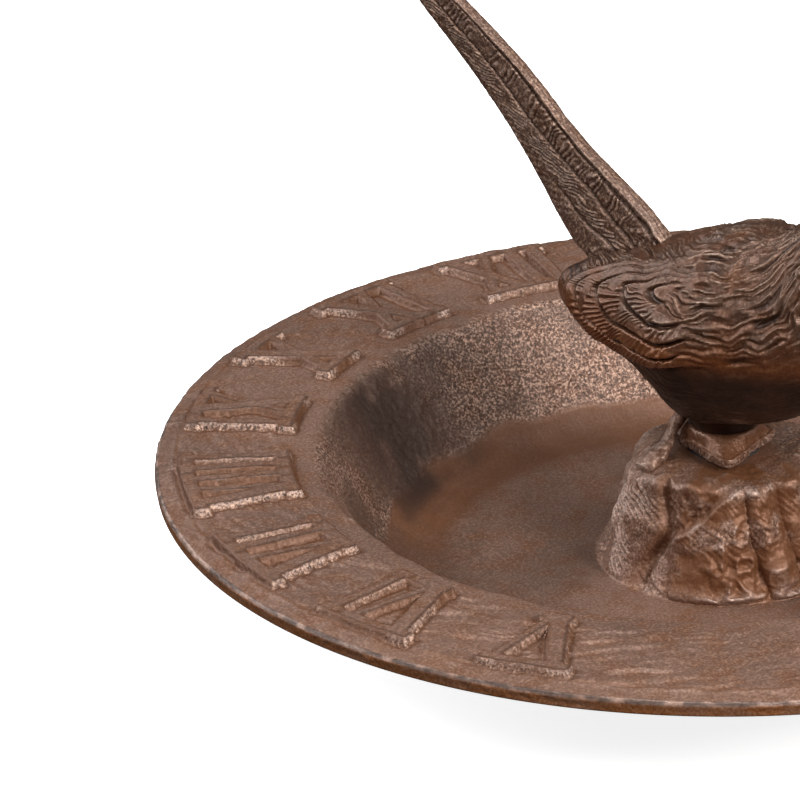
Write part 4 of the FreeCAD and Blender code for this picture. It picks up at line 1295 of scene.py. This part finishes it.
# sand speckle on the bowl's wall, heaviest on the back wall; there its bright tops are partly painted glints
grain_and_glint = np.maximum(sandz * (0.30 + 0.70 * back_) * (1 - 0.75 * sstep(0.1, 0.7, dark)), 0.16)
rimz = (r_ > NUM_R_IN - 1.5) & (r_ < NUM_R_OUT + 1.5) & (hgt > RIM_Z - 1.5)
sdv = np.full(len(p), 9.0)
sdv[rimz] = numeral_sdf(p[rimz, :2])
wallz = sstep(0.75, 0.45, np.abs(sdv - 0.02))
nv = np.empty(len(p) * 3, np.float32)
basin.data.vertices.foreach_get("normal", nv)
nv = nv.reshape(-1, 3).astype(np.float64)
nxc, nyc = cam_xy(nv)
# painted highlight: letter walls whose normals face the key light are picked out to be painted bright
faces_key_light = sstep(0.10, 0.60, 0.40 * nxc - 0.92 * nyc)
ends_ = np.zeros(len(p))           # 1 on the outer walls of a numeral, 0 between its strokes
for c_n, l_n in NUMERALS:
    hw = sum(w_ for _, w_ in l_n) / 2
    dd = np.abs((ang_ - c_n + 180) % 360 - 180)
    ends_ = np.maximum(ends_, (dd < hw + 4) * np.maximum(sstep(hw - 3.2, hw - 1.6, dd),
                                                        0.75 * sstep(40, 75, np.abs((c_n - 65.4 + 180) % 360 - 180))))
lit_wall_highlight = wallz * faces_key_light * (0.10 + 0.90 * ends_)
# painted shade: dark lines along the letters' top edges and feet on the side away from the key light, and darker walls
# where they turn away from it
fx, fy = math.sin(CAM_A) * -0.92 + math.cos(CAM_A) * 0.40, math.cos(CAM_A) * -0.92 - math.sin(CAM_A) * 0.40
sd2 = np.full(len(p), 9.0)
sd2[rimz] = numeral_sdf(p[rimz, :2] + 0.8 * np.array([fx, fy]))
shade_side = sstep(0.05, 0.55, (sd2 - sdv) / 0.8) * rimz
letter_shade = np.maximum(0.62 * shade_side * bell(sdv, -0.78, 0.42), 0.40 * shade_side * bell(sdv, 1.0, 0.42))
letter_shade = np.maximum(letter_shade, 0.28 * wallz * (1 - np.clip(lit_wall_highlight / np.maximum(wallz, 1e-6), 0, 1)))
dark = np.maximum(dark, letter_shade)
dark = np.maximum(dark, 0.80 * (r_ > 148.7) * bell(hgt, RIM_Z - 1.35, 0.55) * sstep(-0.35, 0.15, noise(p, (2.6, 2.6, 9), 229)))
set_attr(basin, "dark", dark)
# painted glints: the letter walls that face the key light get the most sand speckle
grain_and_glint = np.maximum(grain_and_glint, np.maximum(lit_wall_highlight, 0.35 * wallz))
mnd = (1 - sstep(32.5, 35.0, r_)) * sstep(11.5, 13.0, r_) * (hgt > FLOOR_Z - 1)
grain_and_glint = np.maximum(grain_and_glint, 0.42 * mnd)
grain_and_glint = np.maximum(grain_and_glint, 0.20 * ((r_ > 149.0) & (hgt > RIM_Z - 5)))
set_attr(basin, "grain_and_glint", grain_and_glint)
ring_ = sstep(144.0, 146.2, r_) * 0.16 * (r_ < 149.0) + sstep(148.9, 149.5, r_) * (0.22 + 0.38 * sstep(0.1, 0.6, fbm(p, 6, 3, 223) + 0.15))
ring_ = np.maximum(ring_, 0.55 * bell(r_, 144.3, 0.6) * (hgt > RIM_Z - 1))
cove = sstep(70, 77, r_) * (1 - sandz) * (r_ < 95) * (hgt < FLOOR_Z + 9) * (0.04 + 0.80 * back_ ** 2) * sstep(-0.6, 0.4, fbm(p, 22, 3, 220) + 0.6 * back_)
crown_ = (1 - sstep(22, 25, r_)) * (hgt > RIM_Z - 6) * 0.50 * sstep(-0.6, 0.4, fbm(p, 8, 3, 225))
tm = np.mod(ang_, 360)
rust = mnd * sstep(118, 132, tm) * sstep(215, 200, tm) * sstep(0.0, 0.5, fbm(p, 7, 3, 226) + 0.42) * 1.0
tw_ = tm + (hgt - 20) * 0.35 + 4.0 * noise(p, 14, 3)
rust = np.maximum(rust, mnd * 0.7 * bell(tw_, 117.0 - 1.3 * np.maximum(24.0 - hgt, 0), 6.0))
rust = np.maximum(rust, mnd * 0.45 * sstep(0.1, 0.7, fbm(p, 9, 3, 228)))
# rust-brown at the letters' feet, edges and between their strokes, and painted shade on the letter walls that turn
# away from the key light
gap = 0.55 * bell(sdv, 0.95, 0.55) + 0.50 * bell(sdv, -0.75, 0.28) * (0.3 + 0.7 * ends_)
gap = np.maximum(gap, 0.95 * wallz * (1 - np.clip(lit_wall_highlight / np.maximum(wallz, 1e-6), 0, 1)))
gap = np.maximum(gap, 0.95 * (1 - ends_) * sstep(0.0, 0.4, sdv) * sstep(2.2, 1.4, sdv) * (r_ < NUM_R_OUT - 1) * (r_ > NUM_R_IN + 1))
# the turned edge of the rim is a warm brown band under a broken black line
wall_ = (r_ > 149.0) * sstep(RIM_Z - 1.7, RIM_Z - 2.1, hgt) * (hgt > RIM_Z - 5.3)
ring_ = ring_ * (1 - wall_)
set_attr(basin, "warm", 1.00 * wall_ * (0.75 + 0.25 * sstep(-0.4, 0.4, fbm(p, 8, 3, 231))))
set_attr(basin, "deep", np.maximum.reduce([ring_, cove, crown_, rust, gap]))
# raised letters keep the tone of the rim: only their walls that face the key light are bright, a painted highlight
rl = np.zeros(len(p), np.float32)
basin.data.attributes["relief"].data.foreach_get("value", rl)
rim_ = (r_ > 109) & (hgt > RIM_Z - 2)
rl = np.where(rim_, np.clip(rl, -0.55, 0.10) + 0.55 * lit_wall_highlight, rl)
# painted light: the turned outer wall of the rim is made lighter, as if it were evenly lit
rl = np.where((r_ > 149.0) & (hgt > RIM_Z - 5), np.maximum(rl, 0.60), rl)
basin.data.attributes["relief"].data.foreach_set("value", rl.astype(np.float32))

p = coords(bird)
up_ = p[:, 2] - RIM_Z
brk = fbm(p, 6, 3, 210)
bl = np.zeros(len(p), np.float32)
bird.data.attributes["belly"].data.foreach_get("value", bl)
# painted shade: the bird's lower body and belly are painted near black where they face down
underside_shade = np.maximum(0.9 * sstep(20, 8, up_ + 4 * brk), 0.93 * sstep(0.25, 0.9, bl + 0.35 * brk) * sstep(36, 28, up_))
underside_shade = underside_shade * (0.80 + 0.20 * sstep(-0.3, 0.3, brk))
set_attr(bird, "dark", underside_shade)
set_attr(bird, "grain_and_glint", 0.08 * (1 - underside_shade))
# orange tone on the lower flank: partly its orange-brown colour, partly a painted highlight of its glossy band
set_attr(bird, "warm", sstep(44, 33, up_) * (1 - underside_shade) * 0.8 + 0.25 * sstep(-0.2, 0.5, brk))
set_attr(tail, "grain_and_glint", np.full(len(tail.data.vertices), 0.45))
set_attr(plate, "grain_and_glint", np.full(len(plate.data.vertices), 0.6))
pp = coords(plate)
set_attr(plate, "deep", 0.85 * sstep(PLATE_Z1 - 0.9, PLATE_Z1 - 0.2, pp[:, 2]))
set_attr(tail, "dark", np.zeros(len(tail.data.vertices)))
set_attr(plate, "dark", np.zeros(len(plate.data.vertices)))

paint = {
    "dial_basin": cast_iron("basin iron", mid=tuple(1.10 * c for c in MID), groove=(0.155, 0.058, 0.021)),
    "bird_body": cast_iron("bird iron", mid=(0.106, 0.054, 0.035), high=(0.275, 0.180, 0.132), wear_and_highlight=(0.08, 0.90),
                           speck=0.5, groove=(0.020, 0.008, 0.004), recess=(0.080, 0.030, 0.012), metal=0.5,
                           rough=(0.25, 0.45)),
    "tail_gnomon": cast_iron("tail iron", mid=(0.190, 0.112, 0.082), high=(0.36, 0.255, 0.205), wear_and_highlight=(0.02, 1.05),
                             groove=(0.066, 0.029, 0.015), recess=(0.115, 0.050, 0.025), rough=(0.32, 0.54)),
    "perch_plate": cast_iron("plate iron", mid=(0.17, 0.085, 0.055), groove=(0.165, 0.062, 0.024), wear_and_highlight=(0.0, 0.5),
                             rough=(0.28, 0.48)),
}
for k, ob in CAST.items():
    ob.data.materials.clear()
    ob.data.materials.append(paint[k])

HARD = {
    "centre_bolt": zinc("bolt zinc", (0.56, 0.55, 0.52), 0.28),
    "spring_washer": zinc("spring washer zinc", (0.50, 0.50, 0.48), 0.34),
    "plain_washer": zinc("plain washer zinc", (0.52, 0.51, 0.49), 0.32),
    "sealing_washer": rubber("sealing rubber"),
    "tail_pin": zinc("pin steel", (0.30, 0.24, 0.20), 0.35),
}
for o in list(bpy.data.objects):
    if o.type != "MESH" or o in CAST.values():
        continue
    for k, mt in HARD.items():
        if o.name.split(".")[0] == k:
            o.data.materials.clear()
            o.data.materials.append(mt)

# ==================================================================== STUDIO
bm_floor = mesh_object("floor", [(x * 1000.0, y * 1000.0, 0.0) for y in np.linspace(-8, 8, 17)
                                 for x in np.linspace(-8, 8, 17)],
                       [grid_faces(17, 17, closed_c=False)], smooth=False)
fl = Net("studio floor")
fn = fl.noise(3, 2, 0.5)
fl.set(Base_Color=fl.mix(fn, (0.90, 0.90, 0.90), (0.93, 0.93, 0.93)), Roughness=0.8)
fl.b.inputs["Emission Color"].default_value = (1, 1, 1, 1)
fl.b.inputs["Emission Strength"].default_value = 0.85
bm_floor.data.materials.append(fl.mat)
bm_floor.visible_diffuse = False
bm_floor.visible_glossy = False
bm_floor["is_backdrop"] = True

world = bpy.data.worlds.new("studio")
bpy.context.scene.world = world
world.use_nodes = True
wt = world.node_tree
bg = wt.nodes["Background"]
wco = wt.nodes.new("ShaderNodeTexCoord")
wsep = wt.nodes.new("ShaderNodeSeparateXYZ")
wmap = wt.nodes.new("ShaderNodeMapRange")
wmix = wt.nodes.new("ShaderNodeMix")
wmix.data_type = "RGBA"
wt.links.new(wco.outputs["Generated"], wsep.inputs[0])
wt.links.new(wsep.outputs["Z"], wmap.inputs["Value"])
wmap.inputs["From Min"].default_value = -0.15
wmap.inputs["From Max"].default_value = 0.35
wt.links.new(wmap.outputs["Result"], wmix.inputs[0])
wmix.inputs[6].default_value = (0.16, 0.13, 0.12, 1)
wmix.inputs[7].default_value = (1.0, 0.98, 0.97, 1)
wt.links.new(wmix.outputs[2], bg.inputs[0])


def row_cam(xc, yc, zc):
    """Camera-aligned frame (x right, y away, z up) to the row frame."""
    c, s = math.cos(CAM_A), math.sin(CAM_A)
    return Vector((xc * c + yc * s, -xc * s + yc * c, zc))


WORLD_W = 0.10


bg.inputs[1].default_value = WORLD_W


def area(name, az_right, elev, dist, size, power, col=(1, 1, 1), at=(0, 0, 0.05), size_y=None):
    """Soft box: az_right degrees to the right of the camera as seen from the dial, elevation in degrees."""
    a, e = math.radians(az_right), math.radians(elev)
    d = row_cam(math.sin(a) * math.cos(e), -math.cos(a) * math.cos(e), math.sin(e))
    L = bpy.data.lights.new(name, "AREA")
    L.shape = "RECTANGLE"
    L.size, L.size_y = size, size_y or size
    L.energy = power
    L.color = col
    o = bpy.data.objects.new(name, L)
    o.location = Vector(at) + d * dist
    o.rotation_euler = (-d).to_track_quat("-Z", "Y").to_euler()
    bpy.context.scene.collection.objects.link(o)
    return o


area("key", 45, 30, 1.6, 0.45, 24.0, (1.0, 0.965, 0.93))
area("front fill", -25, 40, 1.6, 0.4, 5.0, (1.0, 0.97, 0.94))
area("overhead", 0, 85, 1.6, 0.8, 15.5)
area("left", -85, 30, 1.6, 0.6, 7.5, (0.97, 0.98, 1.0))
area("left back", -128, 30, 1.5, 0.9, 9.0, (0.97, 0.98, 1.0))
area("right", 85, 30, 1.6, 0.6, 5.0, (1.0, 0.97, 0.94))

# ==================================================================== CAMERA
E_, ROLL = 0.417706, -0.02914
right = row_cam(1, 0, 0)
fwd = row_cam(0, math.cos(E_), -math.sin(E_))
upv = row_cam(0, math.sin(E_), math.cos(E_))
C = (row_cam(-0.565633, 0.216610, 0) - fwd * 10) * 0.150 + Vector((0, 0, RIM_Z * MM))
rc = right * math.cos(ROLL) + upv * math.sin(ROLL)
uc = -right * math.sin(ROLL) + upv * math.cos(ROLL)
mw = Matrix((rc, uc, -fwd)).transposed().to_4x4()
mw.translation = C
cd = bpy.data.cameras.new("camera")
cd.sensor_width = 36.0
cd.lens = 36.0 * 5586.468 / 800.0
cd.clip_start, cd.clip_end = 0.1, 60.0
cam = bpy.data.objects.new("camera", cd)
cam.matrix_world = mw
bpy.context.scene.collection.objects.link(cam)
bpy.context.scene.camera = cam
bpy.context.scene.view_settings.view_transform = "Standard"

END_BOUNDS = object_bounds()


def plain(b):
    try:
        return [[float(x) for x in v] for v in b]
    except TypeError:
        return {str(k): plain(v) for k, v in b.items()}


{"cad": plain(CAD_BOUNDS), "visual": plain(END_BOUNDS)}
